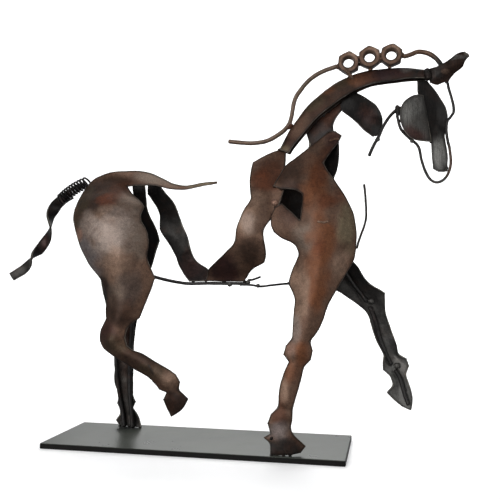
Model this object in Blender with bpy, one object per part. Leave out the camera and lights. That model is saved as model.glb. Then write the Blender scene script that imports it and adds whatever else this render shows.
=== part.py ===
"""A trotting horse cut, hammered and welded from scrap sheet metal, on a flat steel base plate.

The horse faces +X and its near side faces -Y. The origin is the centre of the plate's underside.
Each cut-out of sheet, each rod, wire, nut and the spring is one solid. Pieces that are welded
together stand a hair apart, with the gap named below.
"""
import math

import bmesh
import bpy
import numpy as np
from mathutils import Matrix, Vector
from mathutils.bvhtree import BVHTree
from mathutils.geometry import delaunay_2d_cdt

# Driving dimensions, in metres.
PLATE_LENGTH = 0.195
PLATE_WIDTH = 0.063
PLATE_THICKNESS = 0.0035
PLATE_EDGE_ROUND = 0.0004
HORSE_HEIGHT = 0.238
SHEET = 0.0012
STRIP = 0.0014
NUT_ACROSS_FLATS = 0.013
NUT_THICKNESS = 0.0065
NUT_BORE = 0.0072
NUT_CORNER_ROUND = 0.0005
MANE_ROD = 0.003
LEG_ROD = 0.0028
BELLY_ROD = 0.0022
HEAD_WIRE = 0.0018
THIN_WIRE = 0.0015
SPRING_WIRE = 0.0011
SPRING_OUTER = 0.0082
SPRING_TURNS = 14
SPRING_BOW = 0.0013
CREST_WIDTH = 0.0072
TAIL_WIDTH = 0.0076
GAP = 0.0003

# The horse is drawn on a grid whose unit is this share of its height, from hoof to crest.
DRAWN_HEIGHT = 238.0
UNIT = HORSE_HEIGHT / DRAWN_HEIGHT
GROUND = PLATE_THICKNESS + GAP
SPINE_OFFSET = (SHEET + GAP) / 2

# Mesh fineness, in drawing units.
SHEET_STEP = 5.4
FAR_STEP = 6.0
STRIP_STEP = 4.8
SMALL_STEP = 3.4
TIGHT_STEP = 2.6


def clear_scene():
    for old in list(bpy.data.objects):
        bpy.data.objects.remove(old, do_unlink=True)


def material(name, colour, roughness, metallic=0.85):
    made = bpy.data.materials.get(name) or bpy.data.materials.new(name)
    made.use_nodes = True
    shader = made.node_tree.nodes["Principled BSDF"]
    shader.inputs["Base Color"].default_value = (*colour, 1.0)
    shader.inputs["Roughness"].default_value = roughness
    shader.inputs["Metallic"].default_value = metallic
    return made


def brown_sheet():
    return material("brown_sheet", (0.14, 0.085, 0.055), 0.5)


def dark_sheet():
    return material("dark_sheet", (0.035, 0.03, 0.032), 0.5)


def brushed_sheet():
    return material("brushed_sheet", (0.2, 0.19, 0.175), 0.4)


def copper_brown():
    return material("copper_brown", (0.17, 0.095, 0.065), 0.4)


def grey_wire():
    return material("grey_wire", (0.08, 0.078, 0.075), 0.4)


def plate_steel():
    return material("plate_steel", (0.09, 0.093, 0.087), 0.3)


# Places and curves

def place(x, y, z):
    """A point of the drawing in metres: x forward, y to the far side, z up from the hooves."""
    return Vector((x * UNIT, y * UNIT, GROUND + z * UNIT))


def hermite(values, spans, where):
    """Smooth values through stations; spans are the stations' places, in rising order."""
    values = np.asarray(values, float)
    spans = np.asarray(spans, float)
    slopes = np.gradient(values, spans, axis=0)
    where = np.clip(where, spans[0], spans[-1])
    slot = np.clip(np.searchsorted(spans, where, side="right") - 1, 0, len(spans) - 2)
    width = spans[slot + 1] - spans[slot]
    t = (where - spans[slot]) / width
    shape = (-1,) + (1,) * (values.ndim - 1)
    t = t.reshape(shape)
    width = width.reshape(shape)
    start, end = values[slot], values[slot + 1]
    return ((2 * t**3 - 3 * t**2 + 1) * start + (t**3 - 2 * t**2 + t) * width * slopes[slot]
            + (3 * t**2 - 2 * t**3) * end + (t**3 - t**2) * width * slopes[slot + 1])


def smooth_curve(points, step=None, count=None):
    """Points along a smooth curve through the given ones, by step or by number of spans."""
    points = np.asarray(points, float)
    lengths = np.r_[0, np.cumsum(np.linalg.norm(np.diff(points, axis=0), axis=1))]
    if count is None:
        count = max(1, round(lengths[-1] / step))
    where = np.linspace(0, lengths[-1], count + 1)
    if len(points) == 2:
        return points[0] + (points[1] - points[0]) * (where / lengths[-1])[:, None]
    return hermite(points, lengths, where)


def stations(table, where):
    """Depth at heights, from (height, depth) pairs in rising order of height."""
    heights = [row[0] for row in table]
    depths = [row[1] for row in table]
    return hermite(depths, heights, np.asarray(where, float))


def boss(x, z, centre, reach, depth):
    """A hammered swelling: an oval bump with its centre, its reach along x and z, and its depth."""
    return depth * np.exp(-((x - centre[0]) / reach[0])**2 - ((z - centre[1]) / reach[1])**2)


def ridge(x, z, start, end, reach, depth):
    """A hammered ridge along the line from start to end."""
    start, end = np.array(start, float), np.array(end, float)
    run = end - start
    share = ((x - start[0]) * run[0] + (z - start[1]) * run[1]) / run.dot(run)
    share = np.clip(share, 0, 1)
    away = np.hypot(x - start[0] - share * run[0], z - start[1] - share * run[1])
    return depth * np.exp(-(away / reach)**2)


def edge_curl(away, depth, reach):
    """How far a sheet's rim is turned in, by the distance from its outline."""
    return depth * np.exp(-away / reach)


def placed(route):
    return [place(*point) for point in route]


# Mesh building

def new_object(name, vertices, faces, finish, smooth_angle=40):
    mesh = bpy.data.meshes.new(name)
    mesh.from_pydata([tuple(v) for v in vertices], [], faces)
    mesh.update()
    made = bpy.data.objects.new(name, mesh)
    bpy.context.collection.objects.link(made)
    mesh.materials.append(finish)
    mesh.shade_smooth()
    mesh.set_sharp_from_angle(angle=math.radians(smooth_angle))
    return made


def point_normals(points, triangles):
    corners = points[triangles]
    faces = np.cross(corners[:, 1] - corners[:, 0], corners[:, 2] - corners[:, 0])
    normals = np.zeros_like(points)
    for k in range(3):
        np.add.at(normals, triangles[:, k], faces)
    return normals / np.maximum(np.linalg.norm(normals, axis=1), 1e-12)[:, None]


def thicken(points, triangles, thickness):
    """Closed solid around a surface: both skins and the rim between them."""
    triangles = np.asarray(triangles, int)
    normals = point_normals(points, triangles)
    count = len(points)
    skins = np.vstack([points + normals * thickness / 2, points - normals * thickness / 2])
    skins[:, 2] = np.maximum(skins[:, 2], GROUND)
    faces = [tuple(t) for t in triangles] + [tuple(t[::-1] + count) for t in triangles]
    edges = {(int(a), int(b)) for t in triangles for a, b in zip(t, np.roll(t, -1))}
    for a, b in sorted(edges):
        if (b, a) not in edges:
            faces.append((b, a, a + count, b + count))
    return skins, faces


def outline_points(stretches, step):
    """A closed outline from smooth stretches. Each starts at the end of the one before it."""
    outline = []
    last = stretches[-1][-1]
    for stretch in stretches:
        outline.extend(smooth_curve([last] + list(stretch), step=step)[1:])
        last = stretch[-1]
    return np.array(outline)


def outline_distance(outline, x, z):
    run = np.roll(outline, -1, axis=0) - outline
    nearest = np.full(len(x), np.inf)
    for origin, span in zip(outline, run):
        share = np.clip(((x - origin[0]) * span[0] + (z - origin[1]) * span[1]) / span.dot(span), 0, 1)
        away = np.hypot(x - origin[0] - share * span[0], z - origin[1] - share * span[1])
        nearest = np.minimum(nearest, away)
    return nearest


def fill_outline(outline, step):
    """Even triangles inside an outline, with staggered rows of inner points."""
    low, high = outline.min(axis=0), outline.max(axis=0)
    rows = np.arange(low[1], high[1], step * math.sqrt(3) / 2)
    inner = [(x, z) for k, z in enumerate(rows)
             for x in np.arange(low[0] + step / 2 * (k % 2), high[0], step)]
    inner = np.array(inner)
    inner = inner[outline_distance(outline, inner[:, 0], inner[:, 1]) > step * 0.55]
    flat = [Vector(p) for p in outline] + [Vector(p) for p in inner]
    loop = list(range(len(outline)))
    points, _, faces, _, _, _ = delaunay_2d_cdt(flat, [], [loop], 1, 1e-5)
    used = sorted({index for face in faces for index in face})
    renumbered = {old: new for new, old in enumerate(used)}
    return np.array([tuple(points[k]) for k in used]), [[renumbered[k] for k in face] for face in faces]


def facing(points, triangles, side):
    """The triangles turned so that their front looks to the given side along Y."""
    points = np.asarray(points)
    turned = []
    for a, b, c in triangles:
        across = np.cross(points[b] - points[a], points[c] - points[a])
        turned.append((a, b, c) if across[1] * side > 0 else (a, c, b))
    return turned


def sheet(name, stretches, depth, side, finish, step=SHEET_STEP, thickness=SHEET, offset=SPINE_OFFSET):
    """A cut-out of sheet. depth(x, z, away) is its distance from the spine plane, in units."""
    outline = outline_points(stretches, step)
    flat, triangles = fill_outline(outline, step)
    x, z = flat[:, 0], flat[:, 1]
    away = outline_distance(outline, x, z)
    deep = depth(x, z, away)
    points = np.column_stack([x * UNIT, side * (offset + deep * UNIT), GROUND + z * UNIT])
    skins, faces = thicken(points, facing(points, triangles, side), thickness)
    return new_object(name, skins, faces, finish)


def grid_faces(rows, columns):
    faces = []
    for r in range(rows - 1):
        for c in range(columns - 1):
            a = r * columns + c
            faces.append((a, a + 1, a + columns + 1))
            faces.append((a, a + columns + 1, a + columns))
    return faces


def swept_strip(name, route, profile, sizes, rolls, finish, step, thickness):
    """A strip swept along a route. The profile is (out, across) pairs, scaled by the sizes."""
    route = np.array([tuple(place(*p)) for p in route])
    line = smooth_curve(route, step=step * UNIT)
    where = np.linspace(0, 1, len(line))
    scale = hermite(sizes, np.linspace(0, 1, len(sizes)), where)
    roll = np.radians(hermite(rolls, np.linspace(0, 1, len(rolls)), where))
    along = np.gradient(line, axis=0)
    along /= np.linalg.norm(along, axis=1)[:, None]
    side = np.array([0.0, 1.0, 0.0])
    points = []
    for k, centre in enumerate(line):
        out = np.cross(along[k], side)
        out /= np.linalg.norm(out)
        across = np.cross(out, along[k])
        turned_out = out * math.cos(roll[k]) + across * math.sin(roll[k])
        turned_across = across * math.cos(roll[k]) - out * math.sin(roll[k])
        for o, a in profile:
            points.append(centre + scale[k] * (turned_out * o - turned_across * a))
    points = np.array(points)
    skins, faces = thicken(points, grid_faces(len(line), len(profile)), thickness)
    return new_object(name, skins, faces, finish)


def tube(name, line, diameter, sides, finish):
    """A round rod along a dense line of points, with flat ends."""
    line = [Vector(p) for p in line]
    vertices, faces = [], []
    along = (line[1] - line[0]).normalized()
    normal = along.orthogonal().normalized()
    for k, centre in enumerate(line):
        ahead = line[min(k + 1, len(line) - 1)] - line[max(k - 1, 0)]
        turn = along.rotation_difference(ahead.normalized())
        normal = turn @ normal
        along = ahead.normalized()
        other = along.cross(normal)
        for s in range(sides):
            angle = 2 * math.pi * s / sides
            rim = centre + (normal * math.cos(angle) + other * math.sin(angle)) * diameter / 2
            rim.z = max(rim.z, GROUND)
            vertices.append(rim)
    for k in range(len(line) - 1):
        for s in range(sides):
            a, b = k * sides + s, k * sides + (s + 1) % sides
            faces.append((a, b, b + sides, a + sides))
    faces.append(tuple(range(sides))[::-1])
    faces.append(tuple(range((len(line) - 1) * sides, len(line) * sides)))
    return new_object(name, vertices, faces, finish)


# Fitting pieces to each other

def world_mesh(piece):
    """A piece's own mesh, in world space."""
    bpy.context.view_layer.update()
    work = bmesh.new()
    work.from_mesh(piece.data)
    work.transform(piece.matrix_world)
    return work


def surface_of(piece):
    work = world_mesh(piece)
    surface = BVHTree.FromBMesh(work)
    work.free()
    return surface


def distance_between(piece, neighbour):
    """The least distance, measured at points spread over the edges and faces of both pieces."""
    nearest = math.inf
    for one, other in ((piece, neighbour), (neighbour, piece)):
        surface = surface_of(other)
        work = world_mesh(one)
        bmesh.ops.subdivide_edges(work, edges=work.edges[:], cuts=3, use_grid_fill=True)
        nearest = min(nearest, min(surface.find_nearest(v.co)[3] for v in work.verts))
        work.free()
    return nearest


def draw_near(piece, neighbour, direction):
    """Slides a piece along a direction until only the gap is left to its neighbour."""
    direction = Vector(direction).normalized()
    for _ in range(12):
        spare = distance_between(piece, neighbour) - GAP
        piece.location += direction * spare * 0.9


def outward_from(point, surface):
    """The nearest place on a surface, the way out of it to the point, and how far out it is."""
    near, normal, _, away = surface.find_nearest(point)
    outward = point - near
    if away < 1e-7 or outward.dot(normal) < -0.3 * away:
        return near, normal, -away
    return near, outward.normalized(), away


def pushed_off(point, surface, distance):
    """The point, moved away from a surface where it is nearer than the distance."""
    near, outward, away = outward_from(point, surface)
    return point if away >= distance else near + outward * distance


def seated(point, piece, distance):
    """The point brought to the given distance from a piece's surface."""
    near, outward, _ = outward_from(point, surface_of(piece))
    return near + outward * distance


def rod(name, route, diameter, finish, sides=6, step=6.0, off=()):
    """A bent rod or wire along a route in metres, kept clear of the pieces it lies on."""
    line = [Vector(p) for p in smooth_curve([tuple(p) for p in route], step=step * UNIT)]
    reach = diameter / 2 + GAP * 1.4
    surfaces = [surface_of(piece) for piece in off]
    for _ in range(3):
        for surface in surfaces:
            line = [pushed_off(p, surface, reach) for p in line]
    return tube(name, line, diameter, sides, finish)


def grown_copy(piece, margin):
    """A cutter in the shape of a piece, larger by the margin all round."""
    mesh = piece.data.copy()
    grown = bpy.data.objects.new(piece.name + "_cutter", mesh)
    bpy.context.collection.objects.link(grown)
    grown.matrix_world = piece.matrix_world
    for vertex in mesh.vertices:
        vertex.co += vertex.normal * margin
    grown.hide_render = True
    grown.display_type = "WIRE"
    return grown


def largest_body(piece):
    """Keeps only the largest of the loose bodies that a cut has left."""
    work = bmesh.new()
    work.from_mesh(piece.data)
    bodies, seen = [], set()
    for face in work.faces:
        if face in seen:
            continue
        body, front = [], [face]
        seen.add(face)
        while front:
            current = front.pop()
            body.append(current)
            for edge in current.edges:
                for other in edge.link_faces:
                    if other not in seen:
                        seen.add(other)
                        front.append(other)
        bodies.append(body)
    bodies.sort(key=lambda body: sum(f.calc_area() for f in body))
    spare = [face for body in bodies[:-1] for face in body]
    bmesh.ops.delete(work, geom=spare, context="FACES")
    work.to_mesh(piece.data)
    work.free()


def cut_clear(piece, neighbour, margin=GAP * 1.4):
    """Cuts a piece back where it would meet its neighbour, and leaves the gap between them."""
    cutter = grown_copy(neighbour, margin)
    cut = piece.modifiers.new("clear of " + neighbour.name, "BOOLEAN")
    cut.operation = "DIFFERENCE"
    cut.object = cutter
    graph = bpy.context.evaluated_depsgraph_get()
    finish = piece.data.materials[0]
    result = bpy.data.meshes.new_from_object(piece.evaluated_get(graph))
    piece.modifiers.clear()
    piece.data = result
    result.materials.clear()
    result.materials.append(finish)
    bpy.data.objects.remove(cutter, do_unlink=True)
    largest_body(piece)


# Base

def base_plate():
    bpy.ops.mesh.primitive_cube_add(size=1, location=(0, 0, PLATE_THICKNESS / 2))
    plate = bpy.context.object
    plate.name = plate.data.name = "base_plate"
    plate.data.transform(Matrix.Diagonal((PLATE_LENGTH, PLATE_WIDTH, PLATE_THICKNESS, 1)))
    bevel = plate.modifiers.new("worn edges", "BEVEL")
    bevel.width = PLATE_EDGE_ROUND
    bevel.segments = 1
    plate.data.materials.append(plate_steel())
    return plate


# Hind quarters

NEAR_HIND_STANCE = [(0, 17), (60, 16), (85, 15), (110, 14), (140, 13), (158, 9.5), (168, 4.5), (175, 1.2),
                    (180, 0)]
NEAR_HIP = dict(centre=(-58, 138), reach=(24, 28), depth=9)
NEAR_THIGH = dict(start=(-48, 118), end=(-50, 66), reach=9, depth=3)
NEAR_CANNON = dict(start=(-56, 62), end=(-14, 42), reach=5, depth=2.5)


def croup_tongue(x, z):
    """1 on the tongue that runs forward over the back, which lies in the spine plane, 0 elsewhere."""
    return np.clip((x + 52) / 12, 0, 1) * np.clip((z - 158) / 6, 0, 1)


def near_hind_depth(x, z, away):
    deep = stations(NEAR_HIND_STANCE, z) + boss(x, z, **NEAR_HIP) * np.clip((178 - z) / 30, 0, 1)
    deep += ridge(x, z, **NEAR_THIGH) + ridge(x, z, **NEAR_CANNON)
    deep = np.maximum(deep - edge_curl(away, 3, 5), 0)
    return deep * (1 - croup_tongue(x, z))


def near_haunch():
    tongue_top = [(-51, 179), (-36, 177.5), (-25, 172.5), (-17, 169), (-7, 168), (3, 169.5), (12, 170)]
    tongue_tip = [(12, 168.5)]
    tongue_under = [(0, 166.5), (-10, 165), (-21, 165.5), (-31, 168), (-45, 168.5), (-50.5, 168)]
    front_edge = [(-45, 161), (-38, 156.5), (-35, 153), (-37, 145), (-33, 138.5), (-31, 128), (-32, 119),
                  (-26.5, 106)]
    thigh_front = [(-31.5, 93), (-37, 79.5)]
    hock_front = [(-43, 75), (-46, 66), (-43, 60), (-35, 57), (-24, 51), (-15, 46.5), (-10.5, 43.5),
                  (-8.5, 40), (-10, 34)]
    hoof_front = [(-6, 31), (-3, 28.5)]
    hoof_sole = [(-7, 22), (-14.5, 16.5)]
    hoof_heel = [(-20, 27.5)]
    pastern = [(-17.5, 32), (-22.5, 34)]
    cannon_back = [(-28.5, 40.5), (-39.5, 46), (-57, 56.5)]
    hock_point = [(-62.5, 61), (-64.5, 66), (-64, 70), (-59.5, 79)]
    rump = [(-60.5, 84), (-60, 91), (-63, 103), (-71, 113.5), (-77, 124), (-82, 136), (-85.4, 148),
            (-83, 161), (-77, 173), (-69, 177), (-60, 179)]
    outline = [tongue_top, tongue_tip, tongue_under, front_edge, thigh_front, hock_front, hoof_front,
               hoof_sole, hoof_heel, pastern, cannon_back, hock_point, rump]
    return sheet("near_haunch_and_hind_leg", outline, near_hind_depth, -1, brown_sheet())


FAR_HIND_STANCE = [(0, 23.8), (25, 23.6), (60, 22), (100, 15), (135, 13), (158, 8), (168, 2), (173, 0)]
FAR_HIP = dict(centre=(-58, 136), reach=(20, 26), depth=6)
FAR_CANNON = dict(start=(-62, 90), end=(-62, 2), reach=6, depth=2.5)


def far_hind_depth(x, z, away):
    deep = stations(FAR_HIND_STANCE, z) + boss(x, z, **FAR_HIP) * np.clip((172 - z) / 30, 0, 1)
    deep += ridge(x, z, **FAR_CANNON)
    return np.maximum(deep - edge_curl(away, 2.5, 4), 0)


def far_haunch():
    weld_tab = [(-40, 176)]
    front_edge = [(-39.5, 164), (-41, 155), (-38.5, 146.5), (-35.5, 140.5), (-33, 131.5)]
    thigh_front = [(-36, 124), (-39, 114), (-46, 91.5), (-53.5, 68.5), (-55.5, 53), (-56, 22)]
    fetlock_front = [(-53.5, 17.5), (-56, 13)]
    hoof_front = [(-52, 8.5), (-49, 0)]
    sole = [(-66, 0)]
    heel = [(-69, 3), (-65, 9.5)]
    fetlock_back = [(-68, 15), (-66.5, 23)]
    leg_back = [(-69.5, 29), (-69, 46), (-70, 60), (-73, 80), (-77, 103)]
    rump = [(-81, 125), (-83, 145), (-80.5, 160), (-74, 169)]
    ridge_line = [(-66, 168), (-55, 163)]
    notch = [(-49, 160)]
    tab_corner = [(-48, 176)]
    outline = [weld_tab, front_edge, thigh_front, fetlock_front, hoof_front, sole, heel, fetlock_back,
               leg_back, rump, ridge_line, notch, tab_corner]
    return sheet("far_haunch_and_hind_leg", outline, far_hind_depth, 1, dark_sheet(), step=FAR_STEP)


def far_hind_rods(leg):
    routes = {
        "front": [(-54, 9, 88), (-58, 15, 60), (-58.5, 18, 30), (-57, 18, 12), (-55.5, 17, 0)],
        "rear": [(-62, 10, 80), (-64.5, 15, 55), (-64, 17, 28), (-62, 17, 10), (-61.5, 17, 0)],
    }
    for name, route in routes.items():
        points = [seated(point, leg, LEG_ROD / 2 + GAP * 2) for point in placed(route)]
        points[-1].z = GROUND - GAP
        made = rod("far_hind_leg_rod_" + name, points, LEG_ROD, grey_wire(), off=[leg])
        draw_near(made, leg, (0, 1, 0))


# Trunk

STRIP_BOTTOM = 103.6
RIBBON_STANCE = [(103, 0.2), (110, 4), (122, 10), (138, 14), (150, 12), (160, 6.5), (166, 2.5), (171, 0)]


def ribbon_depth(x, z, away):
    deep = stations(RIBBON_STANCE, z) + edge_curl(away, -1.5, 3)
    return np.maximum(deep, 0)


def flank_ribbon():
    top = [(-31, 172)]
    front_edge = [(-27, 165.5), (-22, 159), (-19, 151), (-17, 143.5), (-13, 135), (-10, 126), (-5, 118),
                  (6, 111)]
    toe = [(5, STRIP_BOTTOM)]
    bottom = [(-7.5, STRIP_BOTTOM)]
    back_edge = [(-16, 113.5), (-20.5, 122), (-26, 129.5), (-33, 139.5), (-32.5, 150), (-35.5, 158),
                 (-38.5, 163.5)]
    crown = [(-37, 171)]
    outline = [top, front_edge, toe, bottom, back_edge, crown]
    return sheet("flank_ribbon", outline, ribbon_depth, 1, dark_sheet(), step=STRIP_STEP)


GIRTH_STANCE = [(103, 0.2), (107, 1.5), (114, 8), (126, 15), (140, 17), (152, 15.5), (157, 13), (168, 8.5),
                (180, 5), (184.5, 3), (187.5, 0.4)]


def girth_depth(x, z, away):
    top = 181.5 + (x - 36) * 0.33
    lowered = np.where(z > 150, z + (187.5 - top) * np.clip((z - 150) / 30, 0, 1), z)
    deep = stations(GIRTH_STANCE, lowered) + edge_curl(away, -1, 3)
    shoulder = near_fore_depth(x, z, np.zeros(len(x)))
    cover = np.clip((x - 40) / 9, 0, 1) * np.clip((z - 125) / 12, 0, 1)
    room = (SHEET + GAP * 1.5) / UNIT
    return np.maximum(np.where(cover > 0, np.minimum(deep, shoulder - room + (1 - cover) * 8), deep), 0)


def girth_strip():
    withers = [(47.5, 187), (53.5, 189), (58.5, 187)]
    neck_edge = [(58.5, 178), (58.5, 162)]
    front_edge = [(56, 153), (51, 143.5), (46.5, 138), (46.5, 130), (47, 120), (45.5, 116), (37.5, 112),
                  (30.5, STRIP_BOTTOM)]
    bottom = [(4, STRIP_BOTTOM)]
    notch = [(7.5, 111.5)]
    back_edge = [(21, 122.5), (27.5, 129), (28.5, 135.5), (37.5, 156.5)]
    back_wing = [(35.5, 166), (36.5, 181.5)]
    outline = [withers, neck_edge, front_edge, bottom, notch, back_edge, back_wing]
    return sheet("girth_strip", outline, girth_depth, -1, brown_sheet(), step=STRIP_STEP)


# Fore quarters

NEAR_FORE_STANCE = [(0, 29.4), (12, 28.4), (50, 25), (75, 21.5), (100, 18), (120, 15), (150, 13.5),
                    (170, 10.5), (186, 5), (194, 1.5), (199, 0)]
NEAR_SHOULDER = dict(centre=(80, 142), reach=(20, 36), depth=7)
NEAR_FOREARM = dict(start=(82, 112), end=(71, 72), reach=8, depth=3)
NEAR_KNEE = dict(centre=(68, 62), reach=(5.5, 5.5), depth=3.2)
NEAR_CANNON_BONE = dict(start=(66, 54), end=(61, 26), reach=4.5, depth=1.8)
CHEST_TURN = dict(start=(106, 150), end=(100, 108), reach=7, depth=5)


def near_fore_depth(x, z, away):
    deep = stations(NEAR_FORE_STANCE, z) + boss(x, z, **NEAR_SHOULDER) * np.clip((196 - z) / 36, 0, 1)
    deep += ridge(x, z, **NEAR_FOREARM) + boss(x, z, **NEAR_KNEE) + ridge(x, z, **NEAR_CANNON_BONE)
    deep -= ridge(x, z, **CHEST_TURN)
    deep -= np.clip((x - 64.5) / 8, 0, 1) * np.clip((16 - z) / 8, 0, 1) * 6
    return np.maximum(deep - edge_curl(away, 2, 4), 0)


def near_shoulder():
    knob = [(93.5, 198.5), (94.5, 196), (92, 192)]
    neck_front = [(87, 185), (83, 178.5)]
    chest = [(87.5, 170.5), (91, 165.5), (97.5, 155), (101.5, 146), (103, 138), (103.5, 129), (101.5, 116.5),
             (96.5, 107.5), (86.5, 88.5), (81, 74), (76, 67.5)]
    knee_front = [(77.5, 62), (76.5, 56.5), (72.5, 52.5)]
    cannon_front = [(71, 46), (68.5, 36.5), (66, 27), (65.5, 20.5), (64.5, 16)]
    hoof_front = [(68, 10), (73, 4.5)]
    toe = [(71.5, 2), (65, 0.5)]
    sole = [(64, 0), (52.5, 0)]
    heel = [(52.5, 7)]
    spur = [(48.5, 8.5), (48.5, 11.5), (52.5, 12.5)]
    fetlock_back = [(50.5, 19), (51.5, 22), (57, 28)]
    cannon_back = [(58.5, 42), (60.5, 49), (63.5, 55)]
    knee_back = [(60.5, 57.5), (60.5, 63), (65.5, 69)]
    forearm_back = [(65.5, 80), (66, 94.5), (62, 102)]
    elbow = [(64, 109.5), (69, 120.5)]
    lobe = [(67, 125.5), (58, 130.5), (52.5, 134.5), (50.5, 141), (51.5, 147), (53.5, 151), (58, 152.5)]
    window_under = [(69.5, 141.5)]
    window_front = [(71, 150), (71.5, 157.5)]
    window_top = [(64.5, 161.5), (59, 161.5), (51.5, 164)]
    back_edge = [(55, 170.5), (59.5, 178)]
    neck_back = [(67.5, 184.5), (75.5, 191), (86, 199.5)]
    crown = [(90, 200)]
    outline = [knob, neck_front, chest, knee_front, cannon_front, hoof_front, toe, sole, heel, spur,
               fetlock_back, cannon_back, knee_back, forearm_back, elbow, lobe, window_under, window_front,
               window_top, back_edge, neck_back, crown]
    return sheet("near_shoulder_and_foreleg", outline, near_fore_depth, -1, brown_sheet())


FAR_FORE_STANCE = [(18, 22), (55, 22.5), (85, 21), (105, 18.5), (135, 14), (165, 9), (185, 5.5), (198, 4),
                   (208, 4), (226, 4.2)]
FAR_SHOULDER = dict(centre=(76, 140), reach=(18, 30), depth=4)
FAR_FOREARM = dict(start=(98, 108), end=(124, 56), reach=6, depth=2.5)
FAR_CANNON_BONE = dict(start=(126, 52), end=(131, 26), reach=5, depth=2)
NECK_TURN = dict(start=(94, 200), end=(93, 186), reach=7, depth=3.6)


def far_fore_depth(x, z, away):
    deep = stations(FAR_FORE_STANCE, z) + boss(x, z, **FAR_SHOULDER)
    deep += ridge(x, z, **FAR_FOREARM) + ridge(x, z, **FAR_CANNON_BONE)
    curl = edge_curl(away, 2, 4) * np.clip((190 - z) / 20, 0, 1)
    return np.maximum(deep - curl - ridge(x, z, **NECK_TURN), 0)


def far_shoulder():
    neck_top = [(72.5, 206.5), (81, 216), (90.5, 222.5), (95, 220.5)]
    neck_front = [(94.5, 214.5), (89.5, 208.5), (88, 203), (92, 193)]
    chest_top = [(92, 184.5), (90.5, 176), (88, 169.5)]
    chest = [(91, 160), (96, 147), (97, 130), (99.5, 117)]
    forearm_front = [(102.5, 114), (106, 107.5), (110.5, 102), (116, 98.5), (120.5, 96)]
    cannon_front = [(120.5, 84), (124, 72), (127.5, 62), (128.5, 56)]
    fetlock_front = [(134.5, 52.5), (135.5, 49.5), (133, 43)]
    hoof_front = [(135.5, 35.5), (137.5, 29), (136.5, 20)]
    sole = [(133, 20.5), (126.5, 25.5), (121, 31)]
    heel = [(125, 35), (124.5, 40), (119, 45.5)]
    fetlock_back = [(118.5, 48.5), (119.5, 54.5)]
    cannon_back = [(116.5, 60.5), (113, 69), (110.5, 77), (109, 82)]
    forearm_back = [(107, 84.5), (100, 90), (89.5, 97)]
    elbow = [(77, 104), (70, 112), (67, 121)]
    body_back = [(63, 128), (54, 139), (50, 153), (51.5, 166), (58.5, 178), (68, 185.5), (73.5, 193)]
    neck_back = [(70.5, 201)]
    outline = [neck_top, neck_front, chest_top, chest, forearm_front, cannon_front, fetlock_front, hoof_front,
               sole, heel, fetlock_back, cannon_back, forearm_back, elbow, body_back, neck_back]
    return sheet("far_shoulder_and_foreleg", outline, far_fore_depth, 1, dark_sheet(), step=FAR_STEP)


def far_foreleg_rods(leg):
    routes = {
        "upper": [(94, 15.5, 110), (100, 16.5, 100.5), (105, 17.5, 94.5), (109, 18, 90)],
        "middle": [(110.6, 19, 87), (113.7, 19, 78.6), (117.8, 19, 66.4), (121.4, 19, 57), (124.9, 19, 49)],
        "lower": [(126.1, 19, 46.5), (129.1, 19, 38.4), (131.8, 19, 31.1), (134.8, 19, 23.6)],
    }
    for name, route in routes.items():
        points = [seated(point, leg, LEG_ROD / 2 + GAP * 2) for point in placed(route)]
        made = rod("far_foreleg_rod_" + name, points, LEG_ROD, grey_wire(), off=[leg])
        draw_near(made, leg, (0, 1, 0))


# Neck and head

CREST_SPINE = [(54, -0.2, 189), (57.5, 0, 197), (63.4, 0, 206.2), (71, 0, 216), (80, 0, 224.6),
               (90, 0, 231.3), (109.5, 0, 237.9), (129, 0, 238.2), (140, 0, 237.4), (148, 0, 235.6)]
CREST_DROPS = [7, 9.7, 11, 12.4, 11.3, 9.7, 8, 6.2]
CREST_STEP = 7


def crest(withers, shoulder):
    half = CREST_WIDTH / 2 - SHEET / 2
    profile = [(-1, half), (-0.5, half * 1.02), (-0.12, half * 0.8), (0, 0), (-0.12, -half * 0.8),
               (-0.5, -half * 1.02), (-1, -half)]
    made = channel("crest", CREST_SPINE, profile, CREST_DROPS, brown_sheet())
    cut_clear(made, withers)
    cut_clear(made, shoulder)
    return made


def channel(name, spine, profile, drops, finish):
    """A strip folded over a curve in the spine plane. The drops are its flanges' depths in units."""
    line = smooth_curve([tuple(point) for point in placed(spine)], step=CREST_STEP * UNIT)
    depths = hermite(drops, np.linspace(0, 1, len(drops)), np.linspace(0, 1, len(line))) * UNIT
    along = np.gradient(line, axis=0)
    points = []
    for centre, ahead, depth in zip(line, along, depths):
        out = np.array([-ahead[2], 0, ahead[0]]) / np.hypot(ahead[0], ahead[2])
        for share, across in profile:
            points.append(centre + out * share * depth + np.array([0, -across, 0]))
    skins, faces = thicken(np.array(points), facing_out(grid_faces(len(line), len(profile))), SHEET)
    return new_object(name, skins, faces, finish)


def facing_out(faces):
    return [face[::-1] for face in faces]


def inside_crest(thickness=SHEET):
    """Offset from the spine plane of a sheet welded to the inner face of the crest's far side."""
    return CREST_WIDTH / 2 - SHEET - GAP * 1.5 - thickness / 2


def throat_leaf():
    def depth(x, z, away):
        return boss(x, z, (110, 208), (9, 10), 3) - ridge(x, z, (101, 219), (116, 203), 3, 1.2)
    crown = [(93, 217)]
    under_crest = [(98, 222.5), (103, 225)]
    front = [(109.7, 221.1), (114.9, 217.5), (118.4, 212), (119.8, 205), (117.5, 196.5)]
    tip = [(113.7, 195.7)]
    back = [(109.5, 199.1), (103.8, 205.2), (99.1, 209.3), (94.3, 212.7)]
    outline = [crown, under_crest, front, tip, back]
    return sheet("throat_leaf", outline, depth, 1, dark_sheet(), step=SMALL_STEP, offset=inside_crest())


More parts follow.
